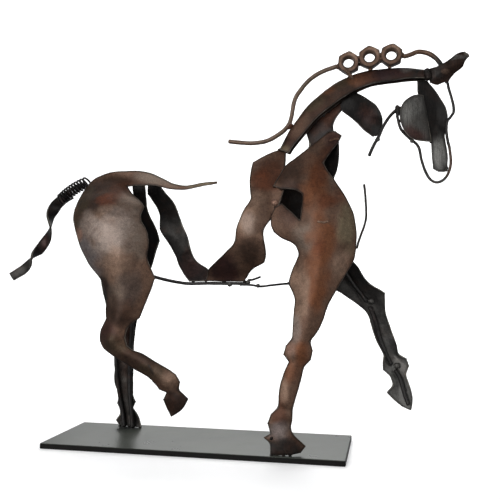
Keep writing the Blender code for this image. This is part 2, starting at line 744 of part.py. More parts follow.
def face_plate():
    def depth(x, z, away):
        hollow = boss(x, z, (153, 206), (5, 11), 2.2)
        return hollow - ridge(x, z, (154.5, 190), (155.5, 172), 4, 1.8)
    top = [(147.5, 229.5)]
    brow = [(151.5, 224), (155, 218.5), (158.5, 212.5), (159.8, 206), (159, 200), (157.7, 194.5)]
    nose_front = [(159, 184.5), (159.2, 174.5)]
    nose_tip = [(157.5, 171.6), (153.5, 171.6), (150.6, 173.6)]
    nose_back = [(149.7, 184), (149.2, 194)]
    throat = [(147, 204), (144.5, 214), (141.5, 222), (141.5, 230)]
    outline = [top, brow, nose_front, nose_tip, nose_back, throat]
    return sheet("face_plate", outline, depth, 1, dark_sheet(), step=SMALL_STEP, offset=inside_crest())


def cheek_disk():
    behind = (SHEET + GAP) / UNIT * 1.1

    def depth(x, z, away):
        front_line = 145 + (220 - z) * 0.155
        back = np.clip((front_line - x) / 10, 0, 1)
        return behind + 3.2 * np.sin(back * math.pi / 2) + boss(x, z, (139, 206), (7, 10), 1.8)

    rim = [(141, 220), (136, 218), (132, 214), (130.5, 208), (131.4, 201.5), (134.3, 195.5), (138, 192),
           (143, 190.8), (149.5, 190.5)]
    straight_edge = [(145, 219.8)]
    return sheet("cheek_disk", [rim, straight_edge], depth, -1, brushed_sheet(), step=SMALL_STEP,
                 offset=-inside_crest())


def ear(neck):
    def depth(x, z, away):
        main = ridge(x, z, (152, 231), (168, 240), 3.4, 3.6)
        rim = ridge(x, z, (152, 236), (169, 244.5), 1.6, 2.4)
        return 0.6 + main + rim
    upper = [(153, 236.5), (157, 238.2), (162, 241.5), (166.3, 244.5), (169.5, 245.2), (172, 244.3)]
    tip = [(172.9, 242.5)]
    lower = [(169.7, 239), (168.8, 236.5), (164.2, 232.8), (161.5, 229.8), (160, 227)]
    base = [(157.5, 227.5), (153.5, 225.8), (149, 227.5)]
    butt = [(148.6, 236)]
    made = sheet("ear", [upper, tip, lower, base, butt], depth, -1, dark_sheet(), step=TIGHT_STEP, offset=0)
    cut_clear(made, neck)
    return made


# Mane

MIDDLE_NUT = 112.2
REAR_NUT_LINE = 191
FRONT_NUT_LINE = 2
REAR_NUT_LEAN, MIDDLE_NUT_LEAN, FRONT_NUT_LEAN = -6, 3, -9.5
NUT_CORNER = NUT_ACROSS_FLATS / math.sqrt(3)


def mane_nuts(neck):
    """Three equal nuts in a row. The lines are the way from the middle nut, in degrees from forward."""
    mesh = hex_nut_mesh()
    above_neck = max(point[2] for point in CREST_SPINE) + NUT_ACROSS_FLATS / UNIT
    middle = nut(mesh, "mane_nut_2", place(MIDDLE_NUT, 0, above_neck), MIDDLE_NUT_LEAN)
    draw_near(middle, neck, (0, 0, -1))
    made = [middle]
    for name, line, lean in (("mane_nut_1", REAR_NUT_LINE, REAR_NUT_LEAN),
                             ("mane_nut_3", FRONT_NUT_LINE, FRONT_NUT_LEAN)):
        away = Vector((math.cos(math.radians(line)), 0, math.sin(math.radians(line))))
        outer = nut(mesh, name, middle.location + away * NUT_ACROSS_FLATS * 1.3, lean)
        draw_near(outer, middle, -away)
        made.append(outer)
    return made


def nut(mesh, name, centre, lean):
    made = bpy.data.objects.new(name, mesh)
    bpy.context.collection.objects.link(made)
    made.location = centre
    made.rotation_euler.y = -math.radians(lean)
    return made


def hex_nut_mesh():
    """A hexagonal nut that stands on a corner, its bore along Y, its outer corners eased."""
    segments = 24
    half = NUT_THICKNESS / 2
    rows = [[], [], [], []]
    for k in range(segments):
        angle = 2 * math.pi * k / segments
        off_flat = abs((math.degrees(angle) + 30) % 60 - 30)
        side = min(NUT_ACROSS_FLATS / 2 / math.cos(math.radians(off_flat)), NUT_CORNER - NUT_CORNER_ROUND)
        face = min(side, NUT_ACROSS_FLATS / 2 * 1.02)
        across = Vector((math.cos(angle), 0, math.sin(angle)))
        front = Vector((0, -half, 0))
        ease = Vector((0, -half + NUT_CORNER_ROUND * 2, 0))
        rows[0].append(across * NUT_BORE / 2 + front)
        rows[1].append(across * face + front)
        rows[2].append(across * side + ease)
        rows[3].append(across * side - ease)
    rows.append([p - 2 * front for p in rows[1]])
    rows.append([p - 2 * front for p in rows[0]])
    vertices = [p for row in rows for p in row]
    faces = []
    for r in range(len(rows)):
        for k in range(segments):
            here, there = r * segments, (r + 1) % len(rows) * segments
            after = (k + 1) % segments
            faces.append((there + k, there + after, here + after, here + k))
    pattern = new_object("mane_nut", vertices, faces, copper_brown(), smooth_angle=20)
    mesh = pattern.data
    bpy.data.objects.remove(pattern, do_unlink=True)
    return mesh


def rear_mane_rod(nut_at_end, neck):
    route = [(19.5, 0, 196.5), (29, 0, 195), (38, 0, 194.5), (46.5, 0, 196), (52.2, 0, 198.8), (57.2, 0, 202.3),
             (60.3, 0, 205.8), (61.5, 0, 209.8), (62.5, 0, 215), (64.7, 0, 223.5), (69, 0, 229.5),
             (73.5, 0, 234.3), (79.3, 0, 238)]
    end = nut_at_end.location + Vector((-NUT_CORNER * 0.7, 0, -NUT_CORNER * 0.1))
    made = rod("rear_mane_rod", placed(route) + [end], MANE_ROD, copper_brown(), sides=8, step=5, off=[neck])
    cut_clear(made, nut_at_end)


def front_mane_rod(nut_at_start, leaf):
    start = nut_at_start.location + Vector((NUT_CORNER * 0.7, 0, -NUT_CORNER * 0.15))
    bend = nut_at_start.location + Vector((NUT_CORNER * 1.5, 0, -NUT_CORNER * 0.05))
    route = [(141, 0, 247.8), (149, 0, 246), (154, -0.6, 241.5), (156.2, -1.5, 237)]
    made = rod("front_mane_rod", [start, bend] + placed(route), MANE_ROD, copper_brown(), sides=8, step=4)
    cut_clear(made, nut_at_start)
    cut_clear(made, leaf)


# Wires of the head, chest and belly

def bridle_wire(face, cheek, leaf):
    forehead = [(158.8, -1, 230), (159.6, -0.9, 226), (160.6, -0.9, 222.3), (162, -0.8, 217), (163.1, -0.8, 211.7),
                (163.1, -0.8, 208.6)]
    nose = [(161.3, -0.8, 205.5), (159.5, -0.8, 203.4), (158.8, -0.8, 200.5), (158.7, -0.8, 195.3),
            (159.3, -0.8, 191.1), (160.2, -0.6, 186.9), (160.8, -0.3, 181.7), (161, 0, 176.5)]
    muzzle = [(160.3, 0, 172.9), (158.5, 0, 168.8), (155.5, 0, 165.9), (151.9, 0, 165.2), (149, 0, 166.8),
              (146.5, 0, 170.8)]
    jaw = [(144.5, 0, 176), (143.1, 0, 181.3), (142.4, -0.3, 186), (140.7, -1, 189.3), (137.6, -1.8, 191.8),
           (133.6, -2.8, 196.2), (130.4, -3.4, 201.6), (128.7, -3.5, 207.8)]
    route = forehead + nose + muzzle + jaw
    made = rod("bridle_wire", placed(route), HEAD_WIRE, grey_wire(), sides=5, step=3.2, off=[face, cheek])
    cut_clear(made, leaf)


def rein_wire(cheek):
    route = [(111.3, -3, 182.5), (115, -3, 190.5), (117.3, -3, 194), (120.3, -3, 200.8), (125, -3.5, 207.8),
             (128.3, -3.5, 211.3), (133.5, -3.5, 212.6)]
    made = rod("rein_wire", placed(route), THIN_WIRE, grey_wire(), step=4.5)
    cut_clear(made, cheek)


def chest_wire(shoulder):
    route = [(108.3, -6, 164.5), (109, -6, 158), (109.5, -6, 148), (109, -6, 141), (107.3, -7, 135.5),
             (105.3, -8, 130), (104, -8.6, 124)]
    points = placed(route)
    points[-1] = seated(points[-1], shoulder, THIN_WIRE / 2 + GAP * 1.5)
    rod("chest_wire", points, THIN_WIRE, grey_wire(), step=5, off=[shoulder])


def belly_wires(haunch, ribbon, girth, shoulder):
    low = STRIP_BOTTOM - (BELLY_ROD / 2 + GAP) / UNIT
    beside = (BELLY_ROD / 2 + THIN_WIRE / 2 + GAP * 1.3) / UNIT
    route = [(-33, -10.5, 107.8), (-24, -6, 105), (-10, 0, low), (5, 0, low), (18, 0, low), (33.8, 0, low)]
    points = placed(route)
    points[0] = seated(points[0], haunch, BELLY_ROD / 2 + GAP * 1.4)
    rod("belly_rod", points, BELLY_ROD, grey_wire(), step=4.5, off=[haunch, ribbon, girth])
    stub = [(32.4, 0, low + beside), (34.5, 0, low + beside), (38, -0.5, low + beside + 0.9), (41.5, -1, 106.6)]
    rod("belly_stub_wire", placed(stub), THIN_WIRE, grey_wire(), step=3, off=[girth])
    wire = [(27.5, -beside * 0.93, low - beside * 0.37), (34.5, -beside * 0.93, low - beside * 0.37),
            (40.6, -4.5, 100.4), (50, -11, 101.2), (57, -15.5, 101.9), (63, -19, 102.4)]
    made = rod("belly_wire", placed(wire), THIN_WIRE, grey_wire(), step=4.5)
    cut_clear(made, shoulder)


# Tail

def tail(haunch):
    start = place(-81.2, 0, 172.2)
    end = place(-102.4, 0, 159.6)
    axis = (end - start).normalized()
    side = Vector((0, 1, 0))
    up = axis.cross(side)
    per_turn = 7
    radius = (SPRING_OUTER - SPRING_WIRE) / 2
    count = SPRING_TURNS * per_turn
    line = []
    for k in range(count + 1):
        angle = 2 * math.pi * k / per_turn
        share = k / count
        middle = start.lerp(end, share) - up * SPRING_BOW * 4 * share * (1 - share)
        line.append(middle + radius * (up * math.cos(angle) + side * math.sin(angle)))
    spring = tube("tail_spring", line, SPRING_WIRE, 4, dark_sheet())
    draw_near(spring, haunch, -axis)
    return spring


def tail_strip(spring):
    route = [(-96, 5.8, 165.2), (-99.2, 5.8, 163.6), (-102.5, 5.6, 161.5), (-105.1, 4.4, 159.1),
             (-106.5, 2.8, 156.5), (-107.8, 1.4, 153.2), (-109.2, 0.6, 149.3), (-109.3, 0.8, 144.4),
             (-109.6, 0.8, 138.5), (-113.1, 0.5, 131), (-117.1, 0.2, 125.7), (-121.2, 0, 121.6),
             (-124.1, 0, 117.1), (-128.2, -0.3, 112.2), (-132.9, -0.6, 109.3), (-137.8, -1, 106.3)]
    half = TAIL_WIDTH / 2
    bow = TAIL_WIDTH * 0.04
    profile = [(-half, 0), (-half / 3, bow), (half / 3, bow), (half, 0)]
    sizes = [1, 1, 1, 1, 0.97, 0.95, 0.93, 0.9, 0.86, 0.8]
    rolls = [0, 4, 42, 92, 137, 183, 248, 323, 358, 365]
    made = swept_strip("tail_strip", route, profile, sizes, rolls, dark_sheet(), 3, STRIP)
    cut_clear(made, spring)
    draw_near(made, spring, (0, -1, 0))


def build():
    clear_scene()
    base_plate()
    near_hind = near_haunch()
    far_hind = far_haunch()
    far_hind_rods(far_hind)
    ribbon = flank_ribbon()
    girth = girth_strip()
    near_fore = near_shoulder()
    far_fore = far_shoulder()
    far_foreleg_rods(far_fore)
    neck = crest(girth, near_fore)
    throat_leaf()
    face = face_plate()
    cheek = cheek_disk()
    leaf = ear(neck)
    _, rear_nut, front_nut = mane_nuts(neck)
    rear_mane_rod(rear_nut, neck)
    front_mane_rod(front_nut, leaf)
    bridle_wire(face, cheek, leaf)
    rein_wire(cheek)
    chest_wire(near_fore)
    belly_wires(near_hind, ribbon, girth, near_fore)
    tail_strip(tail(near_hind))


build()
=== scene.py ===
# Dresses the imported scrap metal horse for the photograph's view: hammered and patinated sheets, round
# rods and wires, threaded nuts, weld beads, a satin base plate, the camera and a soft studio.
import math

import bmesh
import bpy
import numpy as np
from mathutils import Matrix, Vector, kdtree, noise
from mathutils.bvhtree import BVHTree


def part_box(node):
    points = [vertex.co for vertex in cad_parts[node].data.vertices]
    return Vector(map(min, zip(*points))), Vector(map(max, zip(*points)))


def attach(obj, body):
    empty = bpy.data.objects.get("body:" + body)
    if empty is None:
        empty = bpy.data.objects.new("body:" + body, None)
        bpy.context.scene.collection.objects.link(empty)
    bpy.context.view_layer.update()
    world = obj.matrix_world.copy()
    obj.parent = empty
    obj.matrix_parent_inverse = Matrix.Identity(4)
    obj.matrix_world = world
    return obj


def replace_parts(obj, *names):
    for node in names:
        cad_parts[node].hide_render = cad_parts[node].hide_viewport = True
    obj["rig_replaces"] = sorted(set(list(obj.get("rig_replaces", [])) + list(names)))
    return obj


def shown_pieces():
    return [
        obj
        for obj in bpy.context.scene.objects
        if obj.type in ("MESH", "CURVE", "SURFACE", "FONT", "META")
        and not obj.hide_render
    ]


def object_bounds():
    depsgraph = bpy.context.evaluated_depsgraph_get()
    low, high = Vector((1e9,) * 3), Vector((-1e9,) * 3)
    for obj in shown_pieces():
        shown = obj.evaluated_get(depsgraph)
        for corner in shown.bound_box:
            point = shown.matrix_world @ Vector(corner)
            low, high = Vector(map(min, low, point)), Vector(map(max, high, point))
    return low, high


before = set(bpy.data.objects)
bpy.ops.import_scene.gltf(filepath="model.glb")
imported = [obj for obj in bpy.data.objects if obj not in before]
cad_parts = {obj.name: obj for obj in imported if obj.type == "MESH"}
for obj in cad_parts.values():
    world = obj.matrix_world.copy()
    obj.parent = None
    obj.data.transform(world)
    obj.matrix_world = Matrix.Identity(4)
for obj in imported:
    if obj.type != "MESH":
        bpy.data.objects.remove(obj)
CAD_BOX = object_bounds()
CAD_LIMITS = np.array(CAD_BOX[0]), np.array(CAD_BOX[1])
MM = 0.001

# The photograph's camera. The focal length is in pixels of its 500-pixel frame
FOCAL_PIXELS = 652.8
FRAME_PIXELS = 500
SENSOR_WIDTH = 36.0
CAMERA_PLACE = Vector((0.123, -0.4182, 0.1104))
CAMERA_AZIMUTH = math.radians(12)
CAMERA_PITCH = math.radians(2.34)

# Hammering, in millimetres. The seed gives the same dents in every run
HAMMER_SEED = 3
DENT_SIZE, DENT_DEPTH = 9.0, 0.34
RIPPLE_SIZE, RIPPLE_DEPTH = 3.2, 0.1
PLANISH_START, PLANISH_REACH, PLANISH_PASSES = 0.5, 2.5, 30

# Turns that tell a sheet's rims, the corners of its outline, flat regions and a rod's ends
RIM_ANGLE = math.radians(68)
CORNER_ANGLE = math.radians(26)
JOIN_ANGLE = math.radians(30)
FLAT_ANGLE = math.radians(2)
END_ANGLE = math.radians(66)
RIM_CREASE = 0.75

# Spacing of points along rims, rods and weld beads
RIM_STEP = 0.4 * MM
ROD_STEP = 0.5 * MM
BEAD_STEP = 0.22 * MM

# Weld drops: how lumpy they are, coarsely and finely, and how far they are pressed flat
LUMP_SWELL, LUMP_RIPPLE, LUMP_FLATTENING = 0.28, 0.1, 0.35

# Weld beads, in millimetres: how wide their roughness is and how deep
BEAD_ROUGH_SIZE, BEAD_ROUGH_DEPTH = 1.6, 0.22

# The tail spring's coil. Its turns lie a little closer at the strip's end
COIL_WIRE_RADIUS = 0.7 * MM
COIL_SPARE = 0.35 * MM
COIL_TURNS, POINTS_PER_TURN, COIL_CROWDING = 11, 26, 0.9

# The nuts, in millimetres, and how many degrees each leans
NUT_FLATS, NUT_DEPTH, NUT_BORE = 13.0, 6.5, 7.2
NUT_HALF = NUT_DEPTH / 2
NUT_LIP = NUT_BORE / 2 + 0.5
NUT_FACE = NUT_FLATS / 2 * 0.97
NUT_CORNER = NUT_FLATS / math.sqrt(3) - 0.2
THREAD_PITCH, THREAD_DEPTH = 1.25, 0.35
NUT_LEANS = {"mane_nut_1": -6, "mane_nut_2": 3, "mane_nut_3": -9.5}

# Tones of the steel, red, green and blue of 255
TAN = (138, 124, 115)
WARM_TAN = (126, 102, 86)
GREY_TAN = (104, 92, 82)
BROWN = (92, 70, 57)
DARK_BROWN = (52, 37, 29)
DEEP_BROWN = (40, 27, 21)
RED_BROWN = (74, 44, 30)
RUST = (92, 48, 27)
ORANGE_BROWN = (104, 64, 41)
OLIVE = (64, 53, 39)
OLIVE_GREY = (118, 107, 85)
MAROON = (54, 34, 31)
PURPLE_BROWN = (46, 31, 31)
LAVENDER = (110, 102, 100)
PINK_TAN = (140, 110, 95)
CHARCOAL = (36, 34, 33)
BLACK_STEEL = (20, 18, 17)
GREY_STEEL = (64, 62, 59)
MIDDLE_STEEL = (98, 97, 94)
# A painted highlight: the bright rims, which are partly wear, and the lit tip of the ear
HIGHLIGHT_STEEL = (150, 142, 130)
COPPER = (90, 68, 54)
ROD_BROWN = (96, 80, 68)
PLATE_DARK, PLATE_LIGHT, PLATE_EDGE = (68, 71, 66), (80, 83, 77), (24, 23, 22)

# The lights: name, place, the point they face, size and power
LIGHTS = [
    ("key", (-0.45, -1.2, 0.3), (0, 0, 0.13), (1.1, 0.8), 12),
    ("fill", (0.9, -0.7, 0.3), (0.05, 0, 0.12), (0.3, 0.5), 2),
    ("top", (0, 0.1, 1.3), (0, 0, 0.1), (1.2, 0.8), 3),
    ("rear", (-0.3, 1.2, 0.7), (0, 0, 0.12), (0.9, 0.6), 5),
    ("backdrop", (0, 0.6, 1.6), (0, 2.0, 0.6), (2.5, 0.6), 45),
]

# The floor, in metres: its front, where it turns up and how roundly, its top and its half width
FLOOR_FRONT, FLOOR_TURN, TURN_RADIUS, FLOOR_TOP, FLOOR_HALF_WIDTH = -3.0, 1.2, 0.8, 4.0, 5.0


def linear(tone):
    """A tone of 255 as the linear colour that Blender works in."""
    share = np.array(tone, float) / 255
    return np.where(share <= 0.04045, share / 12.92, ((share + 0.055) / 1.055) ** 2.4)


def smoothstep(value):
    value = np.clip(value, 0, 1)
    return value * value * (3 - 2 * value)


# Shapes

def mesh_points(mesh):
    points = np.zeros(len(mesh.vertices) * 3)
    mesh.vertices.foreach_get("co", points)
    return points.reshape(-1, 3)


def crease_rims(work):
    """Keeps a sheet's rims and the sharp turns of its outline from being rounded away. The other points of a
    rim move out by what smoothing will take. Returns points along the rims."""
    crease = work.edges.layers.float.new("crease_edge")
    pin = work.verts.layers.float.new("crease_vert")
    for edge in work.edges:
        if len(edge.link_faces) == 2 and edge.calc_face_angle(0) > RIM_ANGLE:
            edge[crease] = RIM_CREASE
    bulge = {}
    for vertex in work.verts:
        rims = [edge for edge in vertex.link_edges if edge[crease] > 0]
        if len(rims) != 2:
            continue
        away = [(edge.other_vert(vertex).co - vertex.co).normalized() for edge in rims]
        if away[0].angle(-away[1], 0) > CORNER_ANGLE:
            vertex[pin] = 1.0
        else:
            bulge[vertex] = vertex.co - (rims[0].other_vert(vertex).co + rims[1].other_vert(vertex).co) / 2
    for vertex, away in bulge.items():
        vertex.co += away / 3
    rims = []
    for edge in work.edges:
        if edge[crease] > 0:
            first, last = edge.verts[0].co, edge.verts[1].co
            steps = int((last - first).length / RIM_STEP) + 1
            rims += [first.lerp(last, k / steps) for k in range(steps + 1)]
    return rims


def smooth_mesh(name, work, levels):
    """The bmesh as a mesh, subdivided."""
    mesh = bpy.data.meshes.new(name)
    work.to_mesh(mesh)
    work.free()
    holder = bpy.data.objects.new(name, mesh)
    bpy.context.collection.objects.link(holder)
    modifier = holder.modifiers.new("smooth", "SUBSURF")
    modifier.levels = modifier.render_levels = levels
    finished = bpy.data.meshes.new_from_object(holder.evaluated_get(bpy.context.evaluated_depsgraph_get()))
    bpy.data.objects.remove(holder)
    bpy.data.meshes.remove(mesh)
    return finished


def unevenness(point, scale=1.0):
    """How far hammering has moved a point. Both faces of a sheet move alike."""
    dent = noise.noise_vector(point / (DENT_SIZE * MM)) * DENT_DEPTH
    ripple = noise.noise_vector(point / (RIPPLE_SIZE * MM) + Vector((7, 3, 5))) * RIPPLE_DEPTH
    return (dent + ripple) * scale * MM


def roughen(mesh, scale):
    """Moves a mesh's points as hammering would, but none of them out of the CAD model's box."""
    points = mesh_points(mesh)
    moved = points + np.array([unevenness(Vector(point), scale) for point in points])
    moved = np.clip(moved, *CAD_LIMITS)
    mesh.vertices.foreach_set("co", moved.ravel())
    mesh.update()


def planish(mesh, reach):
    """Smooths a sheet's faceted ridges, away from its rims, as a planishing hammer would."""
    ends = np.array([edge.vertices[:] for edge in mesh.edges])
    first, last = np.hstack([ends[:, 0], ends[:, 1]]), np.hstack([ends[:, 1], ends[:, 0]])
    count = len(mesh.vertices)
    neighbours = np.bincount(first, minlength=count)[:, None]
    freedom = 0.5 * smoothstep((reach - PLANISH_START) / PLANISH_REACH)[:, None]
    points = mesh_points(mesh)
    for _ in range(PLANISH_PASSES):
        around = np.stack([np.bincount(first, points[last, axis], count) for axis in range(3)], axis=1)
        points += freedom * (around / neighbours - points)
    mesh.vertices.foreach_set("co", points.ravel())
    mesh.update()


def rim_distance(mesh, rims):
    """Each point's distance to the nearest rim, in millimetres, kept for the material."""
    tree = kdtree.KDTree(len(rims))
    for index, point in enumerate(rims):
        tree.insert(point, index)
    tree.balance()
    reach = np.array([tree.find(v.co)[2] / MM for v in mesh.vertices])
    layer = mesh.attributes.new("rim", "FLOAT", "POINT")
    layer.data.foreach_set("value", reach.astype(np.float32))
    return reach


def tint(mesh, ground, patches=()):
    """Paints soft patches of tone over a ground tone. A patch is x, z, its half width and half height in
    millimetres, its tone and its strength."""
    points = mesh_points(mesh) / MM
    colour = np.tile(linear(ground), (len(points), 1))
    wander = np.array([noise.noise(Vector(point) / 7) for point in points])
    for x, z, wide, high, tone, strength in patches:
        away = np.hypot((points[:, 0] - x) / wide, (points[:, 2] - z) / high) + wander * 0.45
        share = (strength * smoothstep(1.5 - away))[:, None]
        colour = colour * (1 - share) + linear(tone) * share
    layer = mesh.attributes.new("tint", "FLOAT_COLOR", "POINT")
    layer.data.foreach_set("color", np.hstack([colour, np.ones((len(points), 1))]).astype(np.float32).ravel())


def add_piece(name, mesh, finish, nodes=()):
    """Puts a finished mesh in the scene. It stands for the CAD nodes that it names."""
    mesh.shade_smooth()
    mesh.materials.clear()
    mesh.materials.append(finish)
    piece = bpy.data.objects.new(name, mesh)
    bpy.context.collection.objects.link(piece)
    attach(piece, "root")
    if nodes:
        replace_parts(piece, *nodes)
    return piece


def welded(node):
    """The CAD node's mesh with its split points joined."""
    work = bmesh.new()
    work.from_mesh(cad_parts[node].data)
    bmesh.ops.remove_doubles(work, verts=work.verts, dist=0.001 * MM)
    return work


def cut_sheet(node, finish, ground, patches=(), levels=3, uneven=1.0):
    """A smooth, hammered and tinted copy of a sheet node, which it replaces."""
    work = welded(node)
    rims = crease_rims(work)
    bmesh.ops.join_triangles(work, faces=work.faces, angle_face_threshold=JOIN_ANGLE, angle_shape_threshold=1)
    mesh = smooth_mesh(node, work, levels)
    planish(mesh, rim_distance(mesh, rims))
    roughen(mesh, uneven)
    tint(mesh, ground, patches)
    return add_piece(node + "_steel", mesh, finish, [node])


def spread(start):
    """Every point of a mesh in rows, by how many edges it is away from the starting points."""
    seen, rows = set(start), [list(start)]
    while rows[-1]:
        around = {edge.other_vert(v) for v in rows[-1] for edge in v.link_edges} - seen
        seen |= around
        rows.append(sorted(around, key=lambda v: v.index))
    return rows[:-1]


def flat_region(face):
    """The face and every face that lies flat with it."""
    region, waiting = {face}, [face]
    while waiting:
        for edge in waiting.pop().edges:
            for other in set(edge.link_faces) - region:
                if edge.calc_face_angle(0) < FLAT_ANGLE:
                    region.add(other)
                    waiting.append(other)
    return region


def flat_end(work):
    """The points of a faceted rod's whole end, the largest flat region with a sharp turn all round it. An end
    that was cut to fit has only smaller ones."""
    ends = []
    for face in work.faces:
        region = flat_region(face)
        rim = [edge for part in region for edge in part.edges if not set(edge.link_faces) <= region]
        if min(edge.calc_face_angle(0) for edge in rim) > END_ANGLE:
            ends.append((sum(part.calc_area() for part in region), face.index, region))
    largest = max(ends, key=lambda end: end[:2])[2]
    return sorted({v for face in largest for v in face.verts}, key=lambda v: v.index)


def centreline(work):
    """The middle points of a faceted rod's rings, from one end to the other, and its radius."""
    rows = [row for row in spread(flat_end(work)) if len(row) >= 3]
    middles = [sum((v.co for v in row), Vector()) / len(row) for row in rows]
    radius = np.mean([(v.co - middles[0]).length for v in rows[0]])
    return middles, radius


def smooth_route(points, step):
    """Points along a curve that passes through every given point."""
    route = []
    last = len(points) - 1
    for k in range(last):
        before, here = points[max(k - 1, 0)], points[k]
        there, after = points[k + 1], points[min(k + 2, last)]
        bend = 2 * before - 5 * here + 4 * there - after
        sway = 3 * here - before - 3 * there + after
        count = max(1, round((there - here).length / step))
        for i in range(count):
            t = i / count
            route.append(0.5 * ((2 * here) + (there - before) * t + bend * t * t + sway * t ** 3))
    route.append(points[-1])
    return route


def round_rod(node, finish, ground, patches=(), uneven=0.5):
    """A round, hand-bent rod along the middle of a faceted one, which it replaces."""
    work = welded(node)
    middles, radius = centreline(work)
    work.free()
    route = smooth_route(middles, ROD_STEP)
    radii = []
    for k, point in enumerate(route):
        end = min(k, len(route) - 1 - k) * ROD_STEP / radius
        radii.append(radius * math.sqrt(min(1, 0.3 + end)) * (1 + 0.06 * noise.noise(point / (4 * MM))))
    mesh = tube_mesh(route, radii, sides=16)
    roughen(mesh, uneven)
    tint(mesh, ground, patches)
    rim_free(mesh)
    return add_piece(node + "_round", mesh, finish, [node])


def rim_free(mesh):
    """Tells the material that a piece has no rims."""
    layer = mesh.attributes.new("rim", "FLOAT", "POINT")
    layer.data.foreach_set("value", np.full(len(mesh.vertices), 99.0, np.float32))


def closed_loops(rings):
    """A mesh through rings of points, each ring closed, the first joined to the last."""
    count = len(rings[0])
    vertices = [tuple(point) for ring in rings for point in ring]
    faces = []
    for r in range(len(rings)):
        here, there = r * count, (r + 1) % len(rings) * count
        for k in range(count):
            after = (k + 1) % count
            faces.append((here + k, here + after, there + after, there + k))
    mesh = bpy.data.meshes.new("loops")
    mesh.from_pydata(vertices, [], faces)
    mesh.validate()
    return mesh


def frame_along(points):
    """A direction and two sideways vectors at each point of a line, turned as little as possible."""
    before, after = points[:1] + points[:-1], points[1:] + points[-1:]
    ahead = [(there - here).normalized() for here, there in zip(before, after)]
    side = ahead[0].orthogonal().normalized()
    frames = []
    for way in ahead:
        side = (side - way * side.dot(way)).normalized()
        frames.append((side, way.cross(side)))
    return frames


def tube_mesh(points, radii, sides=12):
    """A closed round tube along points, one radius at each point, its ends capped flat."""
    frames = frame_along(points)
    work = bmesh.new()
    rings = []
    for point, radius, (side, up) in zip(points, radii, frames):
        ring = []
        for k in range(sides):
            angle = 2 * math.pi * k / sides
            ring.append(work.verts.new(point + (side * math.cos(angle) + up * math.sin(angle)) * radius))
        rings.append(ring)
    for here, there in zip(rings, rings[1:]):
        for k in range(sides):
            after = (k + 1) % sides
            work.faces.new((here[k], here[after], there[after], there[k]))
    work.faces.new(tuple(reversed(rings[0])))
    work.faces.new(tuple(rings[-1]))
    bmesh.ops.recalc_face_normals(work, faces=work.faces)
    mesh = bpy.data.meshes.new("tube")
    work.to_mesh(mesh)
    work.free()
    return mesh


def lump(work, centre, radius, flatten, seed):
    """Adds one lumpy drop of weld metal to the bmesh. It is flattened along a direction."""
    made = bmesh.ops.create_icosphere(work, subdivisions=3, radius=1)
    for vertex in made["verts"]:
        way = vertex.co.copy()
        coarse = noise.noise(way * 1.3 + Vector((seed, 0, 0)))
        fine = noise.noise(way * 3.1 + Vector((0, seed, 0)))
        point = way * (1 + LUMP_SWELL * coarse + LUMP_RIPPLE * fine) * radius
        vertex.co = centre + point - flatten * point.dot(flatten) * LUMP_FLATTENING


def finish_welds(name, work, finish, tone):
    """Makes one piece of the weld metal in the bmesh."""
    mesh = bpy.data.meshes.new(name)
    work.to_mesh(mesh)
    work.free()
    tint(mesh, tone)
    rim_free(mesh)
    return add_piece(name, mesh, finish)


def world_surface(node):
    """The shown piece that stands for a node, or the node itself, and its surface as a search tree."""
    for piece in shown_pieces():
        if node in piece.get("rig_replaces", []) or piece.name == node:
            return piece, BVHTree.FromObject(piece, bpy.context.evaluated_depsgraph_get())
    raise ValueError(node)


def front(node, x, z):
    """The point of a node's near side at an x and z, in millimetres."""
    _, surface = world_surface(node)
    outside = Vector((x * MM, CAD_BOX[0][1] * 2, z * MM))
    return tuple(surface.ray_cast(outside, Vector((0, 1, 0)))[0] / MM)


def tack_welds(first, second, finish, tone, radius=1.0, spacing=3.5, reach=0.75, most=6):
    """Drops of weld metal where two pieces come nearest, at most so many, that far apart."""
    piece, _ = world_surface(first)
    _, surface = world_surface(second)
    found = []
    for vertex in piece.data.vertices:
        spot, normal, _, away = surface.find_nearest(vertex.co, reach * MM)
        if spot is not None:
            found.append((away, vertex.index, (spot + vertex.co) / 2, normal))
    found.sort(key=lambda item: item[:2])
    taken = []
    for _, _, spot, normal in found:
        if len(taken) < most and all((spot - other).length > spacing * MM for other, _ in taken):
            taken.append((spot, normal))
    work = bmesh.new()
    for count, (spot, normal) in enumerate(taken):
        lump(work, spot, radius * MM, normal, seed=count * 3.7 + len(first))
    if taken:
        finish_welds("weld_" + first[:14] + "-" + second[:14], work, finish, tone)


def weld_run(name, route, radii, finish, tone, ripple=0.12, pitch=0.9):
    """A rippled bead of weld metal along a route in millimetres, with a radius at each of its points."""
    points, sizes = [], []
    for (here, there), (wide, next_wide) in zip(zip(route, route[1:]), zip(radii, radii[1:])):
        here, there = Vector(here) * MM, Vector(there) * MM
        steps = max(2, int((there - here).length / BEAD_STEP))
        for k in range(steps):
            points.append(here.lerp(there, k / steps))
            sizes.append((wide + (next_wide - wide) * k / steps) * MM)
    run = 0.0
    radii_here = []
    for k, point in enumerate(points):
        run += (point - points[k - 1]).length / MM if k else 0
        end = min(k, len(points) - 1 - k) / 5
        wave = 1 + ripple * math.sin(2 * math.pi * run / pitch)
        radii_here.append(sizes[k] * wave * math.sqrt(min(1, 0.15 + end)))
    mesh = tube_mesh(points, radii_here, sides=16)
    size, depth = BEAD_ROUGH_SIZE * MM, BEAD_ROUGH_DEPTH * MM
    moved = [v.co + noise.noise_vector(v.co / size) * depth for v in mesh.vertices]
    mesh.vertices.foreach_set("co", np.array(moved).ravel())
    tint(mesh, tone)
    rim_free(mesh)
    return add_piece(name, mesh, finish)


# Materials

def add_node(tree, kind, inputs=None, **settings):
    """A new shader node. Its inputs are values or the outputs of other nodes."""
    made = tree.nodes.new(kind)
    for key, value in settings.items():
        setattr(made, key, value)
    for key, value in (inputs or {}).items():
        socket = made.inputs[key]
        if isinstance(value, bpy.types.NodeSocket):
            tree.links.new(value, socket)
        else:
            socket.default_value = value
    return made


